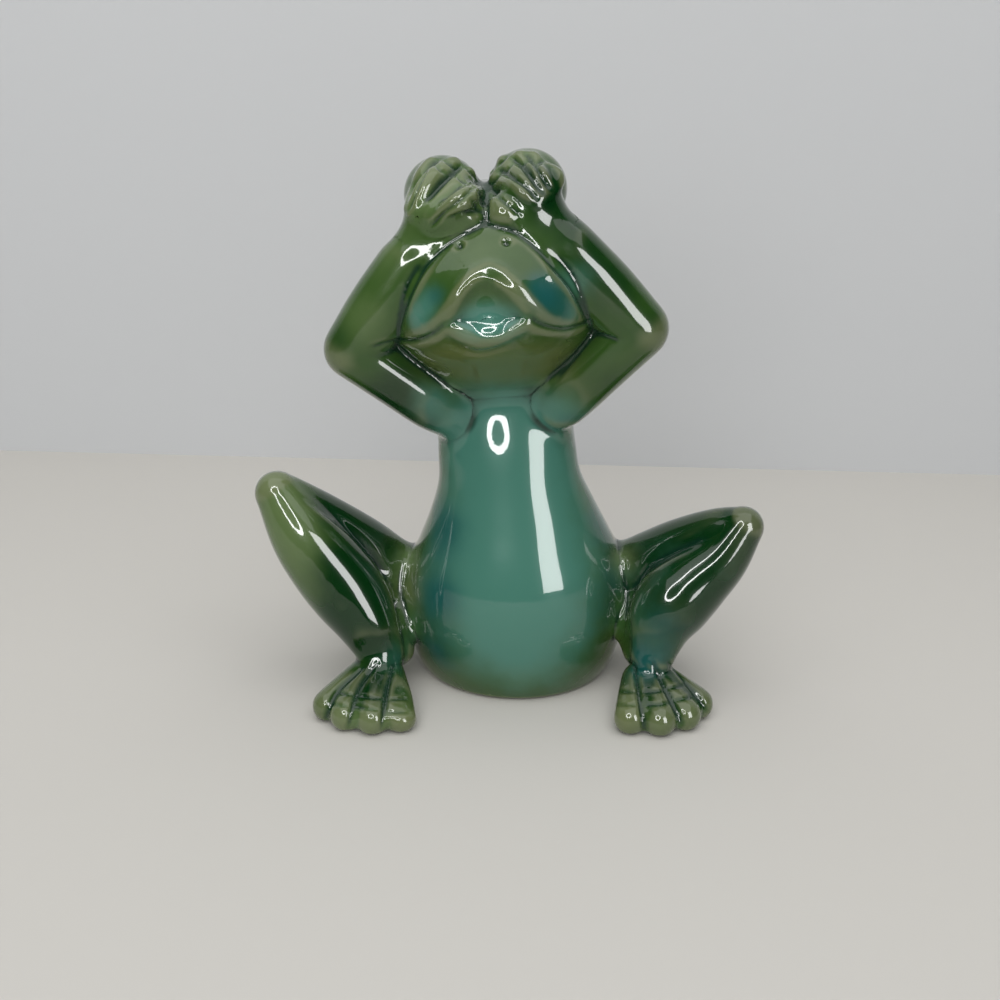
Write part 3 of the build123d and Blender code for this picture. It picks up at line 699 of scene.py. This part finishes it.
def hollow_mouth(lump):
    """Presses the mouth into the head between its lips."""
    points = read_points(lump.data)
    normals = read_normals(lump.data)
    ahead = np.array(view_axes()[2])
    front = normals @ ahead < 0
    lips = flowing(MOUTH_LINE + MOUTH_LINE[:1], 4 * len(MOUTH_LINE))[:-1]
    depth = inside_depth(seen_pixels(points), lips)
    press = MOUTH_DEPTH * (1 - np.exp(-((depth / MOUTH_EASE) ** 2))) * front
    write_points(lump.data, points + press[:, None] * ahead)


def drill_drain(lump, radius):
    """Drills the drain hole up into the foot of the torso."""
    bm = bmesh.new()
    stand = Matrix.Translation(DRAIN_PLACE)
    bmesh.ops.create_cone(
        bm,
        cap_ends=True,
        segments=RING_SIDES,
        radius1=radius,
        radius2=radius,
        depth=2 * DRAIN_DEPTH,
        matrix=stand,
    )
    mesh = bpy.data.meshes.new("drill")
    bm.to_mesh(mesh)
    bm.free()
    drill = bpy.data.objects.new("drill", mesh)
    bpy.context.scene.collection.objects.link(drill)
    cut = lump.modifiers.new("drain", "BOOLEAN")
    cut.operation = "DIFFERENCE"
    cut.object = drill
    cut.solver = "EXACT"
    ready = lump.evaluated_get(bpy.context.evaluated_depsgraph_get())
    drained = bpy.data.meshes.new_from_object(ready)
    solid = lump.data
    lump.modifiers.clear()
    lump.data = drained
    bpy.data.meshes.remove(solid)
    bpy.data.objects.remove(drill)
    bpy.data.meshes.remove(mesh)


class FROG_OT_torso(bpy.types.Operator):
    """Model the pear-shaped torso as a stack of ovals along the spine"""

    bl_idname = "frog.torso"
    bl_label = "Torso"

    def execute(self, context):
        sizes = sizes_of(context)
        bm = bmesh.new()
        stack_ovals(bm, sizes, TORSO_OVAL_SHARES, 0, sizes.neck_height, sizes.belly_width, sizes.belly_depth)
        drill_drain(set_down(bm, "torso", TORSO_GRAIN * sizes.grain), sizes.drain_radius)
        return {"FINISHED"}


class FROG_OT_head(bpy.types.Operator):
    """Model the head with its eye domes, and press the mouth into it"""

    bl_idname = "frog.head"
    bl_label = "Head"

    def execute(self, context):
        sizes = sizes_of(context)
        bm = bmesh.new()
        neck = sizes.neck_height
        stack_ovals(bm, sizes, HEAD_OVAL_SHARES, neck, sizes.head_height, sizes.head_width, sizes.head_depth)
        for side in SIDES.values():
            add_ball(bm, spine_point(sizes, EYE_PLACE, side), sizes.eye_radius)
        hollow_mouth(set_down(bm, "head", sizes.grain))
        return {"FINISHED"}


class FROG_OT_tongue(bpy.types.Operator):
    """Roll the tongue that lies in the mouth"""

    bl_idname = "frog.tongue"
    bl_label = "Tongue"

    def execute(self, context):
        sizes = sizes_of(context)
        bm = bmesh.new()
        stations = []
        for way, share in TONGUE_STATIONS:
            place = TONGUE_PLACE + Vector((way * sizes.tongue_half, 0, 0))
            stations.append((spine_point(sizes, place, 1), share * sizes.tongue_radius))
        roll_limb(bm, stations)
        set_down(bm, "tongue", sizes.grain)
        return {"FINISHED"}


def wrist_way(sizes, side):
    """The wrist's middle, and the way from it to the elbow."""
    wrist = spine_point(sizes, WRIST_PLACE, side)
    return wrist, (spine_point(sizes, ELBOW_PLACE, side) - wrist).normalized()


class FROG_OT_arms(bpy.types.Operator):
    """Roll the bent arms from shoulder to wrist"""

    bl_idname = "frog.arms"
    bl_label = "Arms"

    def execute(self, context):
        sizes = sizes_of(context)
        for name, side in SIDES.items():
            bm = bmesh.new()
            shoulder = spine_point(sizes, SHOULDER_PLACE, side)
            elbow = spine_point(sizes, ELBOW_PLACE, side)
            wrist, way = wrist_way(sizes, side)
            bend = (elbow, sizes.elbow_radius)
            upper = shoulder.lerp(elbow, UPPER_ARM_SHARE)
            roll_limb(bm, [(shoulder, sizes.shoulder_radius), (upper, sizes.shoulder_radius), bend])
            bulge = elbow.lerp(wrist, FOREARM_BULGE_SHARE)
            roll_limb(bm, [bend, (bulge, sizes.forearm_radius), (wrist, sizes.wrist_radius)])
            geom = bm.verts[:] + bm.edges[:] + bm.faces[:]
            cut = bmesh.ops.bisect_plane(bm, geom=geom, plane_co=wrist, plane_no=-way, clear_outer=True)
            rim = [item for item in cut["geom_cut"] if isinstance(item, bmesh.types.BMEdge)]
            bmesh.ops.edgeloop_fill(bm, edges=rim)
            set_down(bm, f"{name}_arm", sizes.grain)
        return {"FINISHED"}


class FROG_OT_hands(bpy.types.Operator):
    """Lay the hands with their four fingers over the eyes"""

    bl_idname = "frog.hands"
    bl_label = "Hands"

    def execute(self, context):
        sizes = sizes_of(context)
        for name, side in SIDES.items():
            bm = bmesh.new()
            eye = spine_point(sizes, EYE_PLACE, side)
            wrist, _ = wrist_way(sizes, side)
            ahead = Vector((0, -cos(HAND_TILT), sin(HAND_TILT)))
            palm = eye + ahead * sizes.eye_radius * PALM_SINK_SHARE
            heel = spine_point(sizes, HEEL_PLACE, side)
            roll_limb(bm, [(wrist, HEEL_FIT_SHARE * sizes.wrist_radius), (palm, sizes.palm_radius)])
            roll_limb(bm, [(wrist, sizes.palm_radius), (heel, HEEL_FIT_SHARE * sizes.palm_radius)])
            base = bm.copy()
            add_ball(base, eye, sizes.eye_radius)
            tree = BVHTree.FromBMesh(base)
            base.free()
            for line in FINGER_LINES[name]:
                along, shares, sinks = zip(*FINGER_SHAPE)
                stations = []
                for pixel, way in zip(line, np.linspace(0, 1, len(line))):
                    place, normal = seen_place(tree, pixel)
                    radius = sizes.finger_radius * np.interp(way, along, shares)
                    stations.append((place - normal * np.interp(way, along, sinks) * MM, radius))
                roll_limb(bm, stations)
            set_down(bm, f"{name}_hand", sizes.grain)
        return {"FINISHED"}


class FROG_OT_legs(bpy.types.Operator):
    """Roll the folded legs: thigh, shank and the web of the haunch"""

    bl_idname = "frog.legs"
    bl_label = "Legs"

    def execute(self, context):
        sizes = sizes_of(context)
        for name, limbs in LEG_LIMBS.items():
            bm = bmesh.new()
            for rows in limbs:
                roll_limb(bm, [(Vector(row[:3]) * MM, row[3] * MM) for row in rows])
            set_down(bm, f"{name}_leg", sizes.grain)
        return {"FINISHED"}


class FROG_OT_feet(bpy.types.Operator):
    """Roll the fanned toes of the feet"""

    bl_idname = "frog.feet"
    bl_label = "Feet"

    def execute(self, context):
        sizes = sizes_of(context)
        for name, side in SIDES.items():
            bm = bmesh.new()
            ankle = ANKLE_PLACES[name]
            heel = Vector((ankle.x, ankle.y, INSTEP_HEIGHT))
            reach, aim, step = FOOT_FANS[name]
            toes = [
                (aim + toe * step, share * reach, sizes.toe_radius)
                for toe, share in enumerate(TOE_REACH_SHARES)
            ]
            webs = [
                ((turn + after) / 2, WEB_REACH_SHARE * (far + beyond) / 2, WEB_RADIUS_SHARE * radius)
                for (turn, far, radius), (after, beyond, _) in zip(toes, toes[1:])
            ]
            for turn, far, radius in toes + webs:
                tip = Vector((ankle.x - side * far * cos(turn), ankle.y - far * sin(turn), TOE_HEIGHT))
                root = heel.lerp(tip, TOE_ROOT_SHARE)
                middle = heel.lerp(tip, TOE_WAIST_SHARE)
                waist = 0.5 * (sizes.instep_radius + radius)
                roll_limb(bm, [(root, sizes.instep_radius), (middle, waist), (tip, radius)])
            set_down(bm, f"{name}_foot", sizes.grain)
        return {"FINISHED"}


def cut_line(points, normals, path, depth, width):
    """Carves a line of a depth and width into the points, fading at its ends. A negative depth raises it."""
    reach = 3 * width
    near = np.all((points > path.min(0) - reach) & (points < path.max(0) + reach), axis=1)
    chosen = np.nonzero(near)[0]
    gaps = np.linalg.norm(points[chosen, None, :] - path[None, :, :], axis=2)
    along = (gaps.argmin(1) + 0.5) / len(path)
    fade = np.sin(pi * along) ** 0.4
    facing = np.clip(0.5 - 2 * (normals[chosen] @ np.array(view_axes()[2])), 0, 1)
    shift = depth * fade * facing * np.exp(-((gaps.min(1) / width) ** 2))
    points[chosen] -= normals[chosen] * shift[:, None]


def sponge_seams(points, mesh):
    """Blends the luted seams that show no line in the picture."""
    tree = BVHTree.FromPolygons(points.tolist(), read_triangles(mesh).tolist())
    keep = np.ones(len(points))
    for pixel, reach in SPONGED:
        gap = np.linalg.norm(points - np.array(seen_place(tree, pixel)[0]), axis=1) / (reach * MM)
        keep *= 1 - np.exp(-(gap**4))
    for place in BLENDED:
        gap = np.linalg.norm(points - np.array(place), axis=1) / BLEND_REACH
        keep *= 1 - np.exp(-(gap**4))
    nape = np.linalg.norm((points - np.array(NAPE)) / np.array(NAPE_REACH), axis=1)
    keep *= 1 - np.exp(-(nape**4))
    soft = spread(points, read_edges(mesh), SOFT_ROUNDS)
    return keep[:, None] * points + (1 - keep[:, None]) * soft


class FROG_OT_ware(bpy.types.Operator):
    """Lute the castings together, sponge the seams and carve the lines"""

    bl_idname = "frog.ware"
    bl_label = "Lute and carve"

    def execute(self, context):
        sizes = sizes_of(context)
        joined = bmesh.new()
        owners = []
        for index, piece in enumerate(PIECES):
            mesh = bpy.data.objects[CLAY + piece].data
            joined.from_mesh(mesh)
            owners.extend([index] * len(mesh.polygons))
        joined.faces.index_update()
        parts = BVHTree.FromBMesh(joined)
        ware = worked_clay(joined, WARE, sizes.grain, sizes.sponge)
        points = sponge_seams(read_points(ware.data), ware.data)
        sit_flat(points, FOOT_EASE)
        write_points(ware.data, points)
        nearest = [owners[parts.find_nearest(point)[2]] for point in points.tolist()]
        votes = np.eye(len(PIECES))[nearest]
        owner = spread(votes, read_edges(ware.data), OWNER_ROUNDS).argmax(1)
        self.keep(ware.data, "owner", "INT", "value", owner.astype(np.int32))
        self.keep(ware.data, "uncarved", "FLOAT_VECTOR", "vector", points.astype(np.float32).ravel())
        tree = BVHTree.FromPolygons(points.tolist(), read_triangles(ware.data).tolist())
        normals = read_normals(ware.data)
        carved = points.copy()
        for path, depth, width in FACE_LINES + HAND_LINES + FOOT_LINES + LEG_LINES:
            traced = flowing(path, 12 * len(path))
            hits = [tree.ray_cast(VIEW_PLACE, sight(pixel))[0] for pixel in traced]
            line = np.array([tuple(hit) for hit in hits if hit is not None])
            cut_line(carved, normals, line, depth * MM, width * MM)
        for pixel in NOSTRILS:
            place, _ = seen_place(tree, pixel)
            gap = np.linalg.norm(carved - np.array(place), axis=1) / (NOSTRIL_WIDTH * MM)
            carved -= normals * (NOSTRIL_DEPTH * MM * np.exp(-(gap**2)))[:, None]
        write_points(ware.data, carved)
        return {"FINISHED"}

    @staticmethod
    def keep(mesh, name, kind, field, values):
        mesh.attributes.new(name, kind, "POINT").data.foreach_set(field, values)


def relief(points, normals, edges, rounds):
    """How deep each point lies below its smoothed surroundings."""
    return np.einsum("ij,ij->i", spread(points, edges, rounds) - points, normals)


def glaze_masks(mesh):
    """How thick each glaze lies on the ware; the pale and the yellowish green masks also carry painted light.
    """
    points = read_points(mesh)
    normals = read_normals(mesh)
    edges = read_edges(mesh)
    tree = BVHTree.FromPolygons(points.tolist(), read_triangles(mesh).tolist())
    masks = {name: np.zeros(len(points)) for name in SPRAYS}
    for name, sprays in SPRAYS.items():
        for across, down, reach, strength in sprays:
            place, _ = seen_place(tree, (across, down))
            gap = np.linalg.norm(points - np.array(place), axis=1) / (reach * MM)
            masks[name] = 1 - (1 - masks[name]) * (1 - strength * np.exp(-(gap**2)))
    fine = relief(points, normals, edges, 5) / (0.05 * MM)
    broad = relief(points, normals, edges, 40) / (0.25 * MM)
    masks["pool"] = np.clip(0.6 * fine + 0.35 * broad - 0.25, 0, 0.8)
    masks["thin"] = np.clip(-0.4 * fine - 0.3 * broad - 0.35, 0, 0.5)
    mouth, _ = seen_place(tree, MOUTH_MIDDLE)
    gap = np.linalg.norm(points - np.array(mouth), axis=1) / MOUTH_REACH
    masks["pool"] *= 1 - 0.9 * np.exp(-(gap**4))
    masks["bisque"] = np.clip(1 - points[:, 2] / (0.25 * MM), 0, 1)
    bore = np.linalg.norm(points - np.array(DRAIN_PLACE), axis=1) < 1.2 * DRAIN_DEPTH
    masks["bisque"] = np.maximum(masks["bisque"], bore.astype(float))
    for name in ("pool", "thin"):
        masks[name] = spread(masks[name], edges, 1)
    return masks


def skin_of(piece, ware_points, carved, ware_normals, triangles, owner, tree):
    """Moves a casting's clay onto the carved ware where it shows, and elsewhere under its neighbours."""
    mesh = bpy.data.objects[CLAY + piece].data
    index = PIECES.index(piece)
    hits = [tree.find_nearest(point) for point in read_points(mesh).tolist()]
    places = np.array([tuple(hit[0]) for hit in hits])
    faces = np.array([hit[2] for hit in hits])
    gaps = np.array([hit[3] for hit in hits])
    corners = triangles[faces]
    a, b, c = (ware_points[corners[:, i]] for i in range(3))
    across, along, reach = b - a, c - a, places - a
    d00, d01, d11 = ((one * two).sum(1) for one, two in ((across, across), (across, along), (along, along)))
    d20, d21 = ((reach * one).sum(1) for one in (across, along))
    scale = np.maximum(d00 * d11 - d01 * d01, 1e-24)
    second = (d11 * d20 - d01 * d21) / scale
    third = (d00 * d21 - d01 * d20) / scale
    weights = np.stack((1 - second - third, second, third), axis=1)
    weights = np.clip(weights, 0, 1)
    weights /= weights.sum(1, keepdims=True)
    normals = np.einsum("ij,ijk->ik", weights, ware_normals[corners])
    normals /= np.linalg.norm(normals, axis=1, keepdims=True)
    shown = np.einsum("ij,ij->i", weights, (owner[corners] == index).astype(float)) > 0.5
    skin = np.einsum("ij,ijk->ik", weights, carved[corners])
    sunk = skin - normals * np.maximum(gaps, UNDERLAP)[:, None]
    write_points(mesh, np.where(shown[:, None], skin, sunk))
    return mesh, corners, weights, normals


class FROG_OT_glaze(bpy.types.Operator):
    """Fire the castings: give each its skin of the ware, its glaze and its place in the frame"""

    bl_idname = "frog.glaze"
    bl_label = "Fire and glaze"

    def execute(self, context):
        colours = context.scene.frog_glazes
        ware = bpy.data.objects[WARE]
        mesh = ware.data
        carved = read_points(mesh)
        uncarved = np.empty(carved.size, np.float32)
        mesh.attributes["uncarved"].data.foreach_get("vector", uncarved)
        uncarved = uncarved.reshape(-1, 3).astype(float)
        owner = np.empty(len(carved), np.int32)
        mesh.attributes["owner"].data.foreach_get("value", owner)
        triangles = read_triangles(mesh)
        tree = BVHTree.FromPolygons(uncarved.tolist(), triangles.tolist())
        normals = read_normals(mesh)
        masks = glaze_masks(mesh)
        glazes = {name: glaze_material(name, colours) for name in ("green_glaze", "teal_glaze")}
        for piece in PIECES:
            skin, corners, weights, shading = skin_of(
                piece, uncarved, carved, normals, triangles, owner, tree
            )
            for name, values in masks.items():
                layer = skin.attributes.new(name, "FLOAT", "POINT")
                layer.data.foreach_set("value", (weights * values[corners]).sum(1).astype(np.float32))
            skin.shade_smooth()
            skin.normals_split_custom_set_from_vertices(shading.tolist())
            slot = "teal_glaze" if piece in TEAL_PIECES else "green_glaze"
            skin.materials.clear()
            skin.materials.append(glazes[slot])
            casting = bpy.data.objects[CLAY + piece]
            casting.name = f"glazed_{piece}"
            skin.name = casting.name
            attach(casting, "root")
            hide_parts(piece)
        bpy.data.objects.remove(ware)
        bpy.data.meshes.remove(mesh)
        return {"FINISHED"}


def add_node(tree, kind, place, **settings):
    """A node of a kind at a place, with its settings."""
    node = tree.nodes.new(kind)
    node.location = place
    for name, value in settings.items():
        setattr(node, name, value)
    return node


def mix_colours(tree, place, factor, first, second):
    """A mix of two colours by a factor socket."""
    mix = add_node(tree, "ShaderNodeMix", place, data_type="RGBA")
    tree.links.new(factor, mix.inputs[0])
    tree.links.new(first, mix.inputs[6])
    tree.links.new(second, mix.inputs[7])
    return mix.outputs[2]


def pooled_glaze():
    """Node group of the glaze: its colour from the sprayed and pooled masks, with drifts in its thickness."""
    name = "pooled_glaze"
    if name in bpy.data.node_groups:
        return bpy.data.node_groups[name]
    group = bpy.data.node_groups.new(name, "ShaderNodeTree")
    for label in ("leaf",) + GLAZE_ORDER:
        group.interface.new_socket(label, in_out="INPUT", socket_type="NodeSocketColor")
    group.interface.new_socket("Colour", in_out="OUTPUT", socket_type="NodeSocketColor")
    group.interface.new_socket("Roughness", in_out="OUTPUT", socket_type="NodeSocketFloat")
    group.interface.new_socket("Height", in_out="OUTPUT", socket_type="NodeSocketFloat")
    given = add_node(group, "NodeGroupInput", (-900, 0))
    made = add_node(group, "NodeGroupOutput", (1600, 0))
    place = add_node(group, "ShaderNodeTexCoord", (-1500, -300))
    drift = add_node(group, "ShaderNodeTexNoise", (-1200, -300))
    drift.inputs["Scale"].default_value = 90
    drift.inputs["Detail"].default_value = 3
    ripple = add_node(group, "ShaderNodeTexNoise", (-1200, -600))
    ripple.inputs["Scale"].default_value = 160
    ripple.inputs["Detail"].default_value = 1
    group.links.new(place.outputs["Object"], drift.inputs["Vector"])
    group.links.new(place.outputs["Object"], ripple.inputs["Vector"])
    colour_so_far = given.outputs["leaf"]
    for step, label in enumerate(GLAZE_ORDER):
        row = -300 - 200 * step
        is_plain = label in PLAIN_MASKS
        source = GLAZE_MASK.get(label, label)
        mask = add_node(group, "ShaderNodeAttribute", (-900, row), attribute_name=source)
        strength = add_node(group, "ShaderNodeMapRange", (-600, row), interpolation_type="SMOOTHSTEP")
        sway = add_node(group, "ShaderNodeMath", (-700, row - 50), operation="MULTIPLY_ADD")
        group.links.new(drift.outputs["Fac"], sway.inputs[0])
        sway.inputs[1].default_value = 0 if is_plain else 0.5
        group.links.new(mask.outputs["Fac"], sway.inputs[2])
        group.links.new(sway.outputs[0], strength.inputs["Value"])
        strength.inputs["From Min"].default_value = 0 if is_plain else 0.28
        strength.inputs["From Max"].default_value = 1 if is_plain else 1.1
        spot = (-300 + 220 * step, 0)
        colour_so_far = mix_colours(group, spot, strength.outputs[0], colour_so_far, given.outputs[label])
    group.links.new(colour_so_far, made.inputs["Colour"])
    group.links.new(ripple.outputs["Fac"], made.inputs["Height"])
    dull = add_node(group, "ShaderNodeMapRange", (1200, -400))
    bare = add_node(group, "ShaderNodeAttribute", (1000, -400), attribute_name="bisque")
    group.links.new(bare.outputs["Fac"], dull.inputs["Value"])
    dull.inputs["To Min"].default_value = 0.22
    dull.inputs["To Max"].default_value = 0.9
    group.links.new(dull.outputs[0], made.inputs["Roughness"])
    return group


def glaze_material(name, colours):
    """A glossy glaze over the fired body."""
    material = bpy.data.materials.new(name)
    material.use_nodes = True
    tree = material.node_tree
    shader = tree.nodes["Principled BSDF"]
    glaze = add_node(tree, "ShaderNodeGroup", (-500, 0), node_tree=pooled_glaze())
    for label in ("leaf",) + GLAZE_ORDER:
        glaze.inputs[label].default_value = (*getattr(colours, label), 1)
    bump = add_node(tree, "ShaderNodeBump", (-250, -300))
    bump.inputs["Strength"].default_value = 0.05
    bump.inputs["Distance"].default_value = 0.001
    tree.links.new(glaze.outputs["Colour"], shader.inputs["Base Color"])
    tree.links.new(glaze.outputs["Roughness"], shader.inputs["Roughness"])
    tree.links.new(glaze.outputs["Height"], bump.inputs["Height"])
    tree.links.new(bump.outputs["Normal"], shader.inputs["Normal"])
    shader.inputs["IOR"].default_value = 1.5
    shader.inputs["Specular IOR Level"].default_value = 0.1
    shader.inputs["Coat Weight"].default_value = 1
    shader.inputs["Coat Roughness"].default_value = 0.03
    shader.inputs["Coat IOR"].default_value = 1.46
    return material


def plain_material(name, shade, roughness):
    """A plain matt finish for the stage."""
    material = bpy.data.materials.new(name)
    material.use_nodes = True
    shader = material.node_tree.nodes["Principled BSDF"]
    shader.inputs["Base Color"].default_value = (*shade, 1)
    shader.inputs["Roughness"].default_value = roughness
    shader.inputs["Specular IOR Level"].default_value = 0
    return material


def open_from_behind(material):
    """Lets a wall be seen through from its back, so that it hides nothing in views from there."""
    tree = material.node_tree
    behind = add_node(tree, "ShaderNodeNewGeometry", (-300, 300))
    clear = add_node(tree, "ShaderNodeBsdfTransparent", (0, -400))
    mix = add_node(tree, "ShaderNodeMixShader", (300, 300))
    tree.links.new(behind.outputs["Backfacing"], mix.inputs[0])
    tree.links.new(tree.nodes["Principled BSDF"].outputs[0], mix.inputs[1])
    tree.links.new(clear.outputs[0], mix.inputs[2])
    tree.links.new(mix.outputs[0], tree.nodes["Material Output"].inputs["Surface"])
    return material


def add_lamp(name, place, target, size, power, shade=(1, 1, 1)):
    """A soft rectangular lamp that faces its target."""
    lamp = bpy.data.lights.new(name, "AREA")
    lamp.shape = "RECTANGLE"
    lamp.size, lamp.size_y = size
    lamp.energy = power
    lamp.color = shade
    holder = bpy.data.objects.new(name, lamp)
    holder.location = place
    holder.rotation_euler = (Vector(target) - Vector(place)).to_track_quat("-Z", "Y").to_euler()
    bpy.context.scene.collection.objects.link(holder)
    return holder


def ring_lamp():
    """A ring of light round the camera, which only shows in the gloss of the glaze."""
    bm = bmesh.new()
    rims = []
    for radius in (RING_LAMP_RADIUS, RING_LAMP_RADIUS + RING_LAMP_BAND):
        circle = bmesh.ops.create_circle(bm, segments=RING_SIDES, radius=radius)["verts"]
        rims += list(dict.fromkeys(edge for vert in circle for edge in vert.link_edges))
    bmesh.ops.bridge_loops(bm, edges=rims)
    mesh = bpy.data.meshes.new("ring_lamp")
    bm.to_mesh(mesh)
    bm.free()
    glow = bpy.data.materials.new("ring_glow")
    glow.use_nodes = True
    shader = glow.node_tree.nodes["Principled BSDF"]
    shader.inputs["Base Color"].default_value = (0, 0, 0, 1)
    shader.inputs["Emission Color"].default_value = (1, 1, 1, 1)
    shader.inputs["Emission Strength"].default_value = RING_LAMP_STRENGTH
    mesh.materials.append(glow)
    ring = bpy.data.objects.new("ring_lamp", mesh)
    ring.location = RING_LAMP_PLACE
    ring.rotation_euler = (RING_LAMP_TARGET - RING_LAMP_PLACE).to_track_quat("-Z", "Y").to_euler()
    ring.visible_camera = False
    ring.visible_diffuse = False
    ring.visible_shadow = False
    bpy.context.scene.collection.objects.link(ring)
    return ring


class FROG_OT_stage(bpy.types.Operator):
    """Set the pale table, the backdrop, the lamps and the camera"""

    bl_idname = "frog.stage"
    bl_label = "Stage"

    def execute(self, context):
        scene = context.scene
        floor_shade = plain_material("pale_table", (0.62, 0.60, 0.56), 0.7)
        wall_shade = plain_material("pale_wall", (0.67, 0.68, 0.69), 0.9)
        bm = bmesh.new()
        bmesh.ops.create_grid(bm, x_segments=1, y_segments=1, size=1.6)
        mesh = bpy.data.meshes.new("table")
        bm.to_mesh(mesh)
        bm.free()
        mesh.materials.append(floor_shade)
        table = bpy.data.objects.new("table", mesh)
        scene.collection.objects.link(table)
        bm = bmesh.new()
        stand = Matrix.Translation((0, 0.18, 0.8)) @ Matrix.Rotation(radians(90), 4, "X")
        bmesh.ops.create_grid(bm, x_segments=1, y_segments=1, size=1.6, matrix=stand)
        mesh = bpy.data.meshes.new("wall")
        bm.to_mesh(mesh)
        bm.free()
        mesh.materials.append(open_from_behind(wall_shade))
        wall = bpy.data.objects.new("wall", mesh)
        scene.collection.objects.link(wall)
        add_lamp("overhead", (0.0, -0.15, 0.75), (0, 0, 0.07), (1.1, 0.85), 4.4)
        window = add_lamp("window", (0.293, -0.392, 0.215), (0, -0.01, 0.05), (0.19, 0.34), 2.6)
        window.visible_diffuse = False
        fill = add_lamp("front", (-0.10, -0.75, 0.40), (0, 0, 0.07), (0.6, 0.6), 2.6)
        fill.visible_glossy = False
        ring_lamp()
        world = bpy.data.worlds.new("room")
        world.use_nodes = True
        world.node_tree.nodes["Background"].inputs["Color"].default_value = (0.8, 0.82, 0.85, 1)
        world.node_tree.nodes["Background"].inputs["Strength"].default_value = 0.3
        scene.world = world
        world.cycles_visibility.glossy = False
        scene.view_settings.view_transform = "Standard"
        right, down, ahead = view_axes()
        eye = bpy.data.cameras.new("view")
        eye.sensor_width = SENSOR_WIDTH
        eye.lens = SENSOR_WIDTH * PICTURE_FOCAL / PICTURE_WIDTH
        eye.clip_start = 0.01
        camera = bpy.data.objects.new("view", eye)
        turn = Matrix((right, -down, -ahead)).transposed().to_4x4()
        camera.matrix_world = Matrix.Translation(VIEW_PLACE) @ turn
        scene.collection.objects.link(camera)
        scene.camera = camera
        return {"FINISHED"}


class FROG_PT_workshop(bpy.types.Panel):
    """Lists the castings, the glazes and the stage"""

    bl_idname = "FROG_PT_workshop"
    bl_label = "Frog figurine"
    bl_space_type = "VIEW_3D"
    bl_region_type = "UI"
    bl_category = "Frog"

    def draw(self, context):
        for group in (context.scene.frog_sizes, context.scene.frog_glazes):
            column = self.layout.column(align=True)
            for name in group.__annotations__:
                column.prop(group, name)
        for operator in OPERATORS:
            self.layout.operator(operator.bl_idname)


OPERATORS = (
    FROG_OT_torso,
    FROG_OT_head,
    FROG_OT_tongue,
    FROG_OT_arms,
    FROG_OT_hands,
    FROG_OT_legs,
    FROG_OT_feet,
    FROG_OT_ware,
    FROG_OT_glaze,
    FROG_OT_stage,
)
CLASSES = (FrogSizes, FrogGlazes) + OPERATORS + (FROG_PT_workshop,)


def register():
    """Adds the classes and the scene's sizes and glazes."""
    for item in CLASSES:
        bpy.utils.register_class(item)
    bpy.types.Scene.frog_sizes = PointerProperty(type=FrogSizes)
    bpy.types.Scene.frog_glazes = PointerProperty(type=FrogGlazes)


def unregister():
    """Takes them away again."""
    del bpy.types.Scene.frog_glazes
    del bpy.types.Scene.frog_sizes
    for item in reversed(CLASSES):
        bpy.utils.unregister_class(item)


def main():
    """Builds the figure and its stage."""
    register()
    bpy.ops.frog.torso()
    bpy.ops.frog.head()
    bpy.ops.frog.tongue()
    bpy.ops.frog.arms()
    bpy.ops.frog.hands()
    bpy.ops.frog.legs()
    bpy.ops.frog.feet()
    bpy.ops.frog.ware()
    bpy.ops.frog.glaze()
    bpy.ops.frog.stage()


if __name__ == "__main__":
    main()
